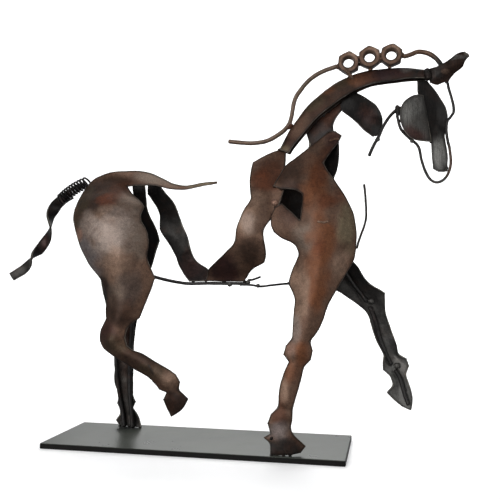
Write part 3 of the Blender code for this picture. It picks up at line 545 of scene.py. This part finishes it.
def noise_value(tree, where, size, detail=4, roughness=0.6, distortion=0.0):
    """Noise with features of about that many millimetres."""
    settings = {"Vector": where, "Scale": 1 / size, "Detail": detail, "Roughness": roughness,
                "Distortion": distortion}
    return add_node(tree, "ShaderNodeTexNoise", settings).outputs["Fac"]


def mapped(tree, value, low, high, to_low, to_high):
    settings = {"Value": value, "From Min": low, "From Max": high, "To Min": to_low, "To Max": to_high}
    return add_node(tree, "ShaderNodeMapRange", settings).outputs["Result"]


def product(tree, first, second):
    return add_node(tree, "ShaderNodeMath", {0: first, 1: second}, operation="MULTIPLY").outputs[0]


def total(tree, first, second):
    return add_node(tree, "ShaderNodeMath", {0: first, 1: second}, operation="ADD").outputs[0]


def mixed(tree, factor, first, second, blend="MIX"):
    made = add_node(tree, "ShaderNodeMix", data_type="RGBA", blend_type=blend)
    for index, value in ((0, factor), (6, first), (7, second)):
        if isinstance(value, bpy.types.NodeSocket):
            tree.links.new(value, made.inputs[index])
        elif index == 0:
            made.inputs[0].default_value = value
        else:
            made.inputs[index].default_value = (*value, 1)
    return made.outputs[2]


def shaded(tree, colour, share):
    """The colour, made lighter or darker by a value."""
    grey = add_node(tree, "ShaderNodeCombineColor", {0: share, 1: share, 2: share}).outputs[0]
    return mixed(tree, 1.0, colour, grey, "MULTIPLY")


def new_finish(name):
    """A new material, its node tree, its shader and the place on the piece in millimetres."""
    finish = bpy.data.materials.new(name)
    finish.use_nodes = True
    tree = finish.node_tree
    place = add_node(tree, "ShaderNodeTexCoord").outputs["Object"]
    where = add_node(tree, "ShaderNodeVectorMath", {0: place, "Scale": 1 / MM}, operation="SCALE").outputs[0]
    return finish, tree, tree.nodes["Principled BSDF"], where


def stained(tree, colour, cloud, rust, soot):
    """The colour under clouds of rust and soot."""
    colour = mixed(tree, product(tree, mapped(tree, cloud, 0.5, 0.68, 0, 1), rust), colour, linear(RED_BROWN))
    return mixed(tree, product(tree, mapped(tree, cloud, 0.47, 0.3, 0, 1), soot), colour, linear(CHARCOAL))


def rimmed(tree, colour, cloud, fleck, band, band_width, rim):
    """The colour with a dark band along the rims, and the rims themselves made bright, partly as wear and
    partly as a painted highlight.
    """
    reach = add_node(tree, "ShaderNodeAttribute", attribute_name="rim").outputs["Fac"]
    if band:
        edge = mapped(tree, reach, band_width * 0.3, band_width, 1, 0)
        edge = product(tree, edge, mapped(tree, fleck, 0.3, 0.6, 0.4, 1))
        colour = mixed(tree, product(tree, edge, band), colour, linear(BLACK_STEEL))
    # Painted highlight, partly wear: the rims turn light where the noise allows
    if rim:
        edge = product(tree, mapped(tree, reach, 0.15, 0.6, 1, 0), mapped(tree, cloud, 0.38, 0.6, 0, 1))
        colour = mixed(tree, product(tree, edge, rim), colour, linear(HIGHLIGHT_STEEL))
    return colour


def patina(name, rust, soot, roughness=0.52, metallic=0.85, rim=0.35, band=0.0, band_width=3.0, brushed=None):
    """Patinated steel. Its main tones come from the mesh; rust, soot, brushing, bright rims that are partly
    wear and partly a painted highlight, and a dark band along the rims are laid over them by noise."""
    finish, tree, shader, where = new_finish(name)
    cloud = noise_value(tree, where, 11, detail=6, roughness=0.62, distortion=0.6)
    fleck = noise_value(tree, where, 1.9, detail=6, roughness=0.75)
    speck = noise_value(tree, where, 0.6, detail=3, roughness=0.6)
    colour = add_node(tree, "ShaderNodeAttribute", attribute_name="tint").outputs["Color"]
    colour = stained(tree, colour, cloud, rust, soot)
    colour = shaded(tree, colour, mapped(tree, fleck, 0.3, 0.7, 0.66, 1.34))
    colour = shaded(tree, colour, mapped(tree, speck, 0.3, 0.7, 0.76, 1.24))
    height = total(tree, fleck, product(tree, speck, 0.35))
    if brushed:
        long_way = add_node(tree, "ShaderNodeVectorMath", {0: where, 1: brushed}, operation="MULTIPLY")
        stroke = noise_value(tree, long_way.outputs[0], 0.7, detail=5, roughness=0.7)
        colour = shaded(tree, colour, mapped(tree, stroke, 0.3, 0.7, 0.55, 1.5))
        height = total(tree, height, stroke)
    colour = rimmed(tree, colour, cloud, fleck, band, band_width, rim)
    gloss = mapped(tree, fleck, 0.3, 0.7, roughness - 0.1, roughness + 0.12)
    bump = add_node(tree, "ShaderNodeBump", {"Strength": 0.5, "Distance": 0.35 * MM, "Height": height})
    tree.links.new(colour, shader.inputs["Base Color"])
    tree.links.new(gloss, shader.inputs["Roughness"])
    tree.links.new(bump.outputs[0], shader.inputs["Normal"])
    shader.inputs["Metallic"].default_value = metallic
    shader.inputs["Coat Weight"].default_value = 0.06
    shader.inputs["Coat Roughness"].default_value = 0.28
    return finish


def plate_finish():
    """Satin grey on the base plate's top, near black on its edges."""
    finish, tree, shader, where = new_finish("satin_plate")
    cloud = noise_value(tree, where, 22, detail=5)
    fine = noise_value(tree, where, 1.4, detail=4)
    height = add_node(tree, "ShaderNodeSeparateXYZ", {0: where}).outputs["Z"]
    top = mixed(tree, mapped(tree, cloud, 0.35, 0.65, 0, 1), linear(PLATE_DARK), linear(PLATE_LIGHT))
    colour = mixed(tree, mapped(tree, height, 3.1, 3.3, 0, 1), linear(PLATE_EDGE), top)
    bump = add_node(tree, "ShaderNodeBump", {"Strength": 0.12, "Distance": 0.1 * MM, "Height": fine})
    tree.links.new(colour, shader.inputs["Base Color"])
    tree.links.new(mapped(tree, cloud, 0.3, 0.7, 0.26, 0.36), shader.inputs["Roughness"])
    tree.links.new(bump.outputs[0], shader.inputs["Normal"])
    shader.inputs["Metallic"].default_value = 0.3
    shader.inputs["Specular IOR Level"].default_value = 0.15
    return finish


# The horse

def hind_quarters(brown, dark):
    near = [
        (-56, 172, 24, 7, DARK_BROWN, 0.8), (-69, 160, 9, 12, DARK_BROWN, 0.9),
        (-60, 162, 8, 5, RUST, 1.0), (-52, 168, 8, 7, RED_BROWN, 0.7), (-78, 156, 6, 16, OLIVE, 0.9),
        (-71, 151, 7, 5, BROWN, 0.7), (-58, 151, 12, 6, WARM_TAN, 0.9), (-44, 161, 9, 8, GREY_TAN, 0.6),
        # Painted light: the tan patches light the middle of the haunch's dome over the steel's paler tone,
        # and the pink-tan spot on its left edge is a painted highlight
        (-56, 136, 14, 15, TAN, 1.0), (-45, 141, 8, 16, TAN, 0.8), (-70, 143, 8, 12, TAN, 0.7),
        (-76, 129, 7, 9, LAVENDER, 1.0), (-79, 138, 4, 4, PINK_TAN, 1.0),
        (-68, 118, 10, 9, LAVENDER, 0.9), (-37, 152, 6, 12, GREY_TAN, 0.5),
        (-50, 117, 13, 10, WARM_TAN, 0.9), (-38, 133, 6, 10, GREY_TAN, 0.7),
        (-44, 103, 8, 9, GREY_TAN, 0.6), (-34, 178, 10, 4, GREY_TAN, 0.8),
        (-14, 175, 16, 4, GREY_TAN, 0.7), (2, 172, 8, 3, OLIVE_GREY, 0.7),
        (-62, 99, 5, 12, DEEP_BROWN, 0.9), (-50, 97, 8, 9, GREY_TAN, 0.4),
        (-50, 86, 10, 10, DARK_BROWN, 0.9), (-42, 106, 7, 12, PURPLE_BROWN, 0.5),
        (-57, 72, 8, 10, MAROON, 0.8), (-52, 66, 10, 7, OLIVE, 0.7), (-37, 55, 14, 8, DARK_BROWN, 0.9),
        (-27, 49, 9, 5, OLIVE, 0.6), (-15, 44, 5, 5, WARM_TAN, 0.6), (-11, 29, 10, 9, DEEP_BROWN, 1.0),
    ]
    cut_sheet("near_haunch_and_hind_leg", brown, BROWN, near)
    far = [(-50, 140, 16, 30, BLACK_STEEL, 0.9), (-61, 26, 12, 24, GREY_STEEL, 0.7),
           (-60, 60, 9, 16, DEEP_BROWN, 0.9), (-61, 36, 8, 12, DEEP_BROWN, 0.4)]
    cut_sheet("far_haunch_and_hind_leg", dark, CHARCOAL, far)


def fore_quarters(brown, dark):
    near = [
        (63, 172, 9, 14, DARK_BROWN, 0.8), (64, 155, 8, 12, PURPLE_BROWN, 0.5),
        (80, 165, 9, 20, ORANGE_BROWN, 0.9), (80, 172, 5, 8, RUST, 0.5), (82, 147, 9, 10, BROWN, 0.6),
        (86, 156, 5, 5, RUST, 0.6), (74, 134, 8, 10, GREY_TAN, 0.7), (84, 132, 8, 16, ORANGE_BROWN, 0.9),
        (81, 128, 4, 6, RUST, 0.7), (79, 110, 8, 16, ORANGE_BROWN, 0.8),
        (98, 140, 5, 14, OLIVE_GREY, 0.7), (95, 118, 5, 9, WARM_TAN, 1.0),
        (91, 172, 4, 10, GREY_TAN, 0.7), (94, 164, 5, 8, RUST, 0.4), (92, 196, 8, 9, PURPLE_BROWN, 0.8),
        (85, 185, 6, 8, RED_BROWN, 0.7), (70, 104, 6, 14, WARM_TAN, 0.9),
        (80, 98, 4, 10, ORANGE_BROWN, 0.8), (68, 90, 5, 9, WARM_TAN, 0.9), (67, 79, 4, 8, TAN, 0.7),
        (64, 66, 3.5, 4, PINK_TAN, 0.9), (71, 64, 4, 7, ORANGE_BROWN, 0.9),
        (64, 53, 5, 7, ORANGE_BROWN, 0.7), (59, 42, 4, 9, WARM_TAN, 0.8), (57, 28, 5, 9, RED_BROWN, 0.8),
        (57, 18, 8, 5, LAVENDER, 0.7), (63, 8, 9, 6, CHARCOAL, 0.9), (53, 7, 6, 5, CHARCOAL, 0.9),
    ]
    cut_sheet("near_shoulder_and_foreleg", brown, BROWN, near)
    far = [(66, 186, 12, 20, DEEP_BROWN, 0.9), (80, 220, 14, 12, RED_BROWN, 0.7),
           (104, 95, 14, 14, GREY_STEEL, 0.5), (120, 70, 10, 20, MIDDLE_STEEL, 0.5),
           (129, 40, 12, 22, MIDDLE_STEEL, 0.8)]
    cut_sheet("far_shoulder_and_foreleg", dark, CHARCOAL, far)


def trunk(brown, dark):
    cut_sheet("flank_ribbon", dark, CHARCOAL,
              [(-20, 142, 7, 14, GREY_STEEL, 0.5), (-6, 116, 10, 8, MAROON, 0.6),
               (-36, 168, 8, 9, BLACK_STEEL, 1.0)])
    cut_sheet("girth_strip", brown, BROWN,
              [(50, 175, 10, 10, RED_BROWN, 0.9), (43, 171, 6, 8, RUST, 0.6), (40, 161, 7, 5, WARM_TAN, 0.7),
               (35, 147, 9, 10, WARM_TAN, 1.0), (37, 144, 5, 6, TAN, 0.5), (26, 131, 8, 8, BROWN, 0.9),
               (18, 114, 11, 10, MAROON, 1.0), (36, 126, 7, 8, DARK_BROWN, 0.8)])


def neck_and_head(brown, face, disk, leaf):
    cut_sheet("crest", brown, DARK_BROWN,
              [(55, 193, 5, 6, OLIVE_GREY, 0.7), (58, 199, 5, 5, DEEP_BROWN, 0.9),
               (65, 211, 8, 9, BROWN, 0.8), (76, 224, 9, 7, OLIVE, 0.9),
               (84, 232, 6, 5, ORANGE_BROWN, 0.5), (94, 236, 6, 5, OLIVE, 0.8),
               (104, 236, 6, 5, ORANGE_BROWN, 0.5), (112, 238, 6, 5, RED_BROWN, 0.7),
               # The mid steel spot near the crest's end is a painted highlight
               (126, 240, 12, 6, PURPLE_BROWN, 1.0), (135, 241, 4, 3, MIDDLE_STEEL, 0.6),
               (144, 238, 6, 8, CHARCOAL, 1.0)])
    cut_sheet("throat_leaf", leaf, BLACK_STEEL, [(111, 214, 6, 7, PURPLE_BROWN, 0.4)])
    # The near black ground is partly the steel's own dark tone and partly painted shade where the plate's
    # upper part faces down
    cut_sheet("face_plate", face, BLACK_STEEL, [(155, 186, 6, 11, MIDDLE_STEEL, 1.0)])
    cut_sheet("cheek_disk", disk, GREY_STEEL,
              [(138, 216, 9, 7, MIDDLE_STEEL, 0.7), (138, 197, 9, 6, MAROON, 0.9)], uneven=0.5)
    # The small warm tan patch at the ridge's base, the mid steel line along the upper edge and the light tip
    # are painted highlights
    cut_sheet("ear", leaf, DEEP_BROWN,
              [(150, 236, 5, 6, CHARCOAL, 0.9), (158, 237, 2, 1.2, WARM_TAN, 0.3),
               (164, 245.5, 7, 1.6, MIDDLE_STEEL, 0.6), (172, 248.5, 2.5, 2.5, HIGHLIGHT_STEEL, 0.9)])


def coil_route(points, coil_radius):
    """The middle of a spring's wire, coiled along the arched axis of the spring's points."""
    middle = points.mean(0)
    lengthwise = np.linalg.svd(points - middle, full_matrices=False)[2][0]
    axis = Vector(lengthwise if lengthwise[0] < 0 else -lengthwise)
    along = (points - middle) @ np.array(axis)
    start = Vector(middle) + axis * (along.min() + COIL_WIRE_RADIUS)
    end = Vector(middle) + axis * (along.max() - COIL_WIRE_RADIUS)
    side = Vector((0, 1, 0))
    up = axis.cross(side)
    bow = np.polyfit(along, (points - middle) @ np.array(up), 2)
    count = COIL_TURNS * POINTS_PER_TURN
    route = []
    for k in range(count + 1):
        angle = 2 * math.pi * k / POINTS_PER_TURN
        centre = start.lerp(end, (k / count) ** COIL_CROWDING)
        centre += up * np.polyval(bow, (centre - Vector(middle)).dot(axis))
        route.append(centre + (up * math.cos(angle) + side * math.sin(angle)) * coil_radius)
    return route


def tail(dark):
    cut_sheet("tail_strip", dark, CHARCOAL,
              [(-112, 134, 5, 9, MAROON, 0.7), (-128, 116, 10, 7, GREY_STEEL, 0.7)])
    low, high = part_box("tail_spring")
    coil_radius = (high.y - low.y) / 2 - COIL_WIRE_RADIUS + COIL_SPARE
    route = coil_route(mesh_points(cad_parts["tail_spring"].data), coil_radius)
    mesh = tube_mesh(route, [COIL_WIRE_RADIUS] * len(route), sides=8)
    tint(mesh, BLACK_STEEL)
    rim_free(mesh)
    add_piece("tail_coil", mesh, dark, ["tail_spring"])


def nut_profile(angle):
    """A nut's section at an angle round its axis: over the front face, the side, the back face and the
    thread, each point by its distance from the axis and its place along it."""
    off_flat = abs((math.degrees(angle) + 30) % 60 - 30)
    side = min(NUT_FLATS / 2 / math.cos(math.radians(off_flat)), NUT_CORNER)
    drop = (side - NUT_FACE) * 0.55
    face = [NUT_LIP, NUT_LIP + 0.5, (NUT_LIP + NUT_FACE) / 2, NUT_FACE - 0.4, NUT_FACE]
    profile = [(r, -NUT_HALF) for r in face]
    profile += [(side - 0.12, -NUT_HALF + drop + 0.1), (side, -NUT_HALF + drop + 0.4),
                (side, NUT_HALF - drop - 0.4), (side - 0.12, NUT_HALF - drop - 0.1)]
    profile += [(r, NUT_HALF) for r in reversed(face)]
    threads = 4 * int(NUT_DEPTH / THREAD_PITCH)
    for t in range(threads + 1):
        y = NUT_HALF - 0.5 - (NUT_DEPTH - 1) * t / threads
        wave = abs(((y / THREAD_PITCH + angle / (2 * math.pi)) % 1) * 2 - 1)
        profile.append((NUT_BORE / 2 - THREAD_DEPTH * wave, y))
    return profile


def nut_mesh(segments=96):
    """A hexagonal nut with chamfered corners and a threaded bore along Y. Its rim distances count from the
    edges of its two faces."""
    rings, reach = [], []
    for k in range(segments):
        angle = 2 * math.pi * k / segments
        profile = nut_profile(angle)
        rings.append([Vector((math.cos(angle) * r, y, math.sin(angle) * r)) * MM for r, y in profile])
        reach += [min(r - NUT_LIP, NUT_FACE - r) if abs(y) == NUT_HALF else 0 for r, y in profile]
    mesh = closed_loops(rings)
    layer = mesh.attributes.new("rim", "FLOAT", "POINT")
    layer.data.foreach_set("value", np.array(reach, np.float32))
    return mesh


def mane(copper):
    for name, lean in NUT_LEANS.items():
        low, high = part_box(name)
        middle = (low + high) / 2
        mesh = nut_mesh()
        mesh.transform(Matrix.Translation(middle) @ Matrix.Rotation(-math.radians(lean), 4, "Y"))
        mesh.vertices.foreach_set("co", np.clip(mesh_points(mesh), *CAD_LIMITS).ravel())
        x, z = middle.x / MM, middle.z / MM
        # The warm tan patch up and to the right of each nut's middle is a painted highlight
        tint(mesh, COPPER, [(x + 2, z + 3, 3.5, 3, WARM_TAN, 0.8), (x - 4, z - 3, 3, 3, BROWN, 0.8)])
        add_piece(name + "_threaded", mesh, copper, [name])
        mesh.set_sharp_from_angle(angle=math.radians(28))
    round_rod("rear_mane_rod", copper, ROD_BROWN)
    round_rod("front_mane_rod", copper, COPPER, [(153, 243, 9, 6, CHARCOAL, 0.9)])


def rods_and_wires(wire):
    for name in ("far_hind_leg_rod_front", "far_hind_leg_rod_rear", "far_foreleg_rod_upper",
                 "far_foreleg_rod_middle", "far_foreleg_rod_lower", "belly_rod", "belly_stub_wire",
                 "belly_wire", "chest_wire", "rein_wire"):
        round_rod(name, wire, CHARCOAL)
    round_rod("bridle_wire", wire, CHARCOAL,
              [(152, 170, 8, 4, GREY_STEEL, 0.9), (160, 180, 4, 10, BROWN, 0.5)])


# Welds where two pieces come nearest

def mane_welds(copper):
    for first, second, radius in (
            ("mane_nut_1", "mane_nut_2", 1.3), ("mane_nut_2", "mane_nut_3", 1.3),
            ("mane_nut_2", "crest", 1.4), ("mane_nut_3", "crest", 1.2),
            ("rear_mane_rod", "mane_nut_1", 1.9), ("front_mane_rod", "mane_nut_3", 1.9)):
        tack_welds(first, second, copper, COPPER, radius, spacing=2.5, reach=1.6, most=3)
    tack_welds("rear_mane_rod", "crest", copper, RED_BROWN, 1.5, spacing=2.2, most=3)


def sheet_welds(brown, dark):
    for first, second, radius, most in (
            ("girth_strip", "crest", 1.1, 4),
            ("near_shoulder_and_foreleg", "girth_strip", 1.1, 4),
            ("near_shoulder_and_foreleg", "far_shoulder_and_foreleg", 0.9, 5),
            ("ear", "crest", 1.3, 4)):
        tack_welds(first, second, brown, DARK_BROWN, radius, most=most)
    for first, second, radius, most in (
            ("far_shoulder_and_foreleg", "crest", 1.0, 6),
            ("throat_leaf", "crest", 0.9, 4),
            ("face_plate", "crest", 1.1, 4),
            ("ear", "face_plate", 1.0, 3),
            ("ear", "front_mane_rod", 1.6, 3),
            ("cheek_disk", "face_plate", 0.8, 3),
            ("flank_ribbon", "near_haunch_and_hind_leg", 1.0, 4),
            ("flank_ribbon", "far_haunch_and_hind_leg", 1.0, 4),
            ("flank_ribbon", "girth_strip", 0.9, 3),
            ("near_haunch_and_hind_leg", "far_haunch_and_hind_leg", 0.9, 6),
            ("tail_spring", "near_haunch_and_hind_leg", 1.2, 3),
            ("tail_strip", "tail_spring", 1.2, 4),
            ("far_haunch_and_hind_leg", "base_plate", 1.0, 6),
            ("near_shoulder_and_foreleg", "base_plate", 1.0, 6)):
        tack_welds(first, second, dark, CHARCOAL, radius, most=most)
    for strip in ("flank_ribbon", "girth_strip"):
        tack_welds(strip, "belly_rod", dark, CHARCOAL, 1.2, spacing=11, most=2)


def rod_welds(wire):
    for rod in ("far_hind_leg_rod_front", "far_hind_leg_rod_rear"):
        tack_welds(rod, "far_haunch_and_hind_leg", wire, CHARCOAL, 1.3, spacing=16, most=5)
        tack_welds(rod, "base_plate", wire, CHARCOAL, 1.6, most=2)
    for rod in ("far_foreleg_rod_upper", "far_foreleg_rod_middle", "far_foreleg_rod_lower"):
        tack_welds(rod, "far_shoulder_and_foreleg", wire, GREY_STEEL, 1.7, spacing=12, most=3)
    for first, second in (
            ("belly_rod", "near_haunch_and_hind_leg"), ("belly_stub_wire", "belly_rod"),
            ("belly_wire", "belly_rod"), ("belly_wire", "near_shoulder_and_foreleg"),
            ("chest_wire", "near_shoulder_and_foreleg"), ("rein_wire", "cheek_disk"),
            ("rein_wire", "throat_leaf"), ("bridle_wire", "cheek_disk"), ("bridle_wire", "ear")):
        tack_welds(first, second, wire, CHARCOAL, 1.0, spacing=3, reach=0.9, most=2)


# Welds where the photograph shows them

def weld_runs(brown, dark, copper):
    weld_run("weld_poll", [(147.2, -2.4, 239.8), (147.4, -3.2, 236.4), (148.4, -3.4, 232)], [1.6, 2.4, 2.2],
             dark, CHARCOAL, ripple=0.06, pitch=1.8)
    weld_run("weld_spur", [(96.2, -2.6, 243.4), (98.2, -2.8, 241), (100.4, -3, 238), (102.2, -3.4, 235.4)],
             [1.2, 1.5, 1.3, 0.5], copper, COPPER, ripple=0.16, pitch=1.4)
    weld_run("weld_rod_ring", [(59.9, -1.6, 206.2), (61.6, -2, 208.2), (63.4, -1.8, 209)], [1.2, 1.5, 1.1],
             copper, RED_BROWN, pitch=1.2)
    shoulder = "near_shoulder_and_foreleg"
    for name, line, radius, tone in (
            ("weld_scar", [(80.5, 144), (84, 143.4), (88, 144.2)], 0.7, WARM_TAN),
            ("weld_knob", [(86.6, 197), (90, 198.6), (93, 198.2)], 0.9, BROWN),
            ("hoof_spur", [(53.8, 12.8), (52.4, 14.2)], 1.4, CHARCOAL)):
        route = [front(shoulder, x, z) for x, z in line]
        weld_run(name, route, [radius] * len(route), brown, tone)


def weld_drops(brown, wire):
    lobe = bmesh.new()
    lump(lobe, Vector(front("girth_strip", 52.6, 157.2)) * MM, 2.2 * MM, Vector((0, 1, 0)), seed=4)
    finish_welds("weld_lobe", lobe, brown, PINK_TAN)
    weld_run("weld_rein_block", [(129, -3.5, 217.6), (129.3, -3.6, 214), (129.4, -3.8, 210)], [1.4, 1.7, 1.0],
             wire, CHARCOAL)
    for name, place, size in (
            ("cheek", (137.8, -3.6, 194.6), 1.3), ("rein", (116.7, -3.1, 196.7), 1.5),
            ("belly_1", (20.6, -0.6, 105.4), 1.5), ("belly_2", (33.1, -0.8, 106.9), 1.4),
            ("belly_3", (40.4, -4.5, 104.6), 1.3), ("muzzle", (157.6, 1.5, 177.4), 2.0),
            ("leg_upper", (111.3, 20.6, 94.4), 2.3), ("leg_lower", (127.7, 21.6, 52.3), 2.0)):
        drop = bmesh.new()
        lump(drop, Vector(place) * MM, size * MM, Vector((0, 1, 0)), seed=len(name) * 1.9)
        finish_welds("bead_" + name, drop, wire, GREY_STEEL)


# Studio

def area_light(name, place, target, size, power):
    light = bpy.data.lights.new(name, "AREA")
    light.shape = "RECTANGLE"
    light.size, light.size_y = size
    light.energy = power
    lamp = bpy.data.objects.new(name, light)
    bpy.context.collection.objects.link(lamp)
    lamp.location = place
    lamp.rotation_euler = (Vector(target) - Vector(place)).to_track_quat("-Z", "Y").to_euler()


def floor():
    """A pale floor that turns up into a backdrop. Reflections don't show it."""
    profile = [(FLOOR_FRONT, 0.0), (FLOOR_TURN, 0.0)]
    for k in range(1, 13):
        angle = math.pi / 2 * k / 12
        profile.append((FLOOR_TURN + TURN_RADIUS * math.sin(angle), TURN_RADIUS * (1 - math.cos(angle))))
    profile.append((FLOOR_TURN + TURN_RADIUS, FLOOR_TOP))
    work = bmesh.new()
    rows = [[work.verts.new((x, y, z)) for x in (-FLOOR_HALF_WIDTH, FLOOR_HALF_WIDTH)] for y, z in profile]
    for here, there in zip(rows, rows[1:]):
        work.faces.new((here[0], here[1], there[1], there[0]))
    mesh = bpy.data.meshes.new("floor")
    work.to_mesh(mesh)
    work.free()
    mesh.shade_smooth()
    finish = bpy.data.materials.new("pale_floor")
    finish.use_nodes = True
    shader = finish.node_tree.nodes["Principled BSDF"]
    shader.inputs["Base Color"].default_value = (0.9, 0.9, 0.9, 1)
    shader.inputs["Roughness"].default_value = 0.9
    shader.inputs["Emission Color"].default_value = (1, 1, 1, 1)
    shader.inputs["Emission Strength"].default_value = 0.2
    mesh.materials.append(finish)
    ground = bpy.data.objects.new("floor", mesh)
    ground.visible_glossy = False
    bpy.context.collection.objects.link(ground)


def studio():
    floor()
    world = bpy.data.worlds.new("studio")
    world.use_nodes = True
    sky = world.node_tree.nodes["Background"]
    sky.inputs["Color"].default_value = (0.95, 0.97, 1, 1)
    sky.inputs["Strength"].default_value = 0.25
    bpy.context.scene.world = world
    for light in LIGHTS:
        area_light(*light)


def camera():
    ahead = Vector((-math.sin(CAMERA_AZIMUTH) * math.cos(CAMERA_PITCH),
                    math.cos(CAMERA_AZIMUTH) * math.cos(CAMERA_PITCH), math.sin(CAMERA_PITCH)))
    lens = bpy.data.cameras.new("camera")
    lens.sensor_width = SENSOR_WIDTH
    lens.lens = FOCAL_PIXELS / FRAME_PIXELS * SENSOR_WIDTH
    lens.clip_start = 0.01
    eye = bpy.data.objects.new("camera", lens)
    bpy.context.collection.objects.link(eye)
    eye.location = CAMERA_PLACE
    eye.rotation_euler = ahead.to_track_quat("-Z", "Y").to_euler()
    bpy.context.scene.camera = eye


def build():
    noise.seed_set(HAMMER_SEED)
    # rim sets how bright the rims are painted, partly as wear and partly as a painted highlight
    brown = patina("brown_patina", rust=0.3, soot=0.2, band=0.85, band_width=1.5)
    dark = patina("dark_patina", roughness=0.45, rust=0.2, soot=0.3, rim=0.45, band=0.7, band_width=1.6)
    leaf = patina("leaf_steel", roughness=0.5, rust=0.2, soot=0.4, rim=0.3, band=0.5, band_width=1.6,
                  brushed=(1, 1, 0.15))
    face = patina("face_steel", rust=0.1, soot=0.2, rim=0.5, band=0.9, band_width=2.2, brushed=(1, 1, 0.08))
    disk = patina("brushed_steel", rust=0.1, soot=0.2, rim=0.7, band=0.7, band_width=2.6,
                  brushed=(1, 1, 0.06))
    copper = patina("copper_patina", roughness=0.36, metallic=0.7, rust=0.4, soot=0.4, rim=0, band=0.6,
                    band_width=0.5)
    wire = patina("grey_wire_steel", roughness=0.4, metallic=0.7, rust=0.2, soot=0.3, rim=0)
    hind_quarters(brown, dark)
    fore_quarters(brown, dark)
    trunk(brown, dark)
    neck_and_head(brown, face, disk, leaf)
    tail(dark)
    mane(copper)
    rods_and_wires(wire)
    mane_welds(copper)
    sheet_welds(brown, dark)
    rod_welds(wire)
    weld_runs(brown, dark, copper)
    weld_drops(brown, wire)
    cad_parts["base_plate"].data.materials[0] = plate_finish()
    studio()
    camera()
    bpy.context.scene.view_settings.view_transform = "Standard"


build()
bpy.context.view_layer.update()
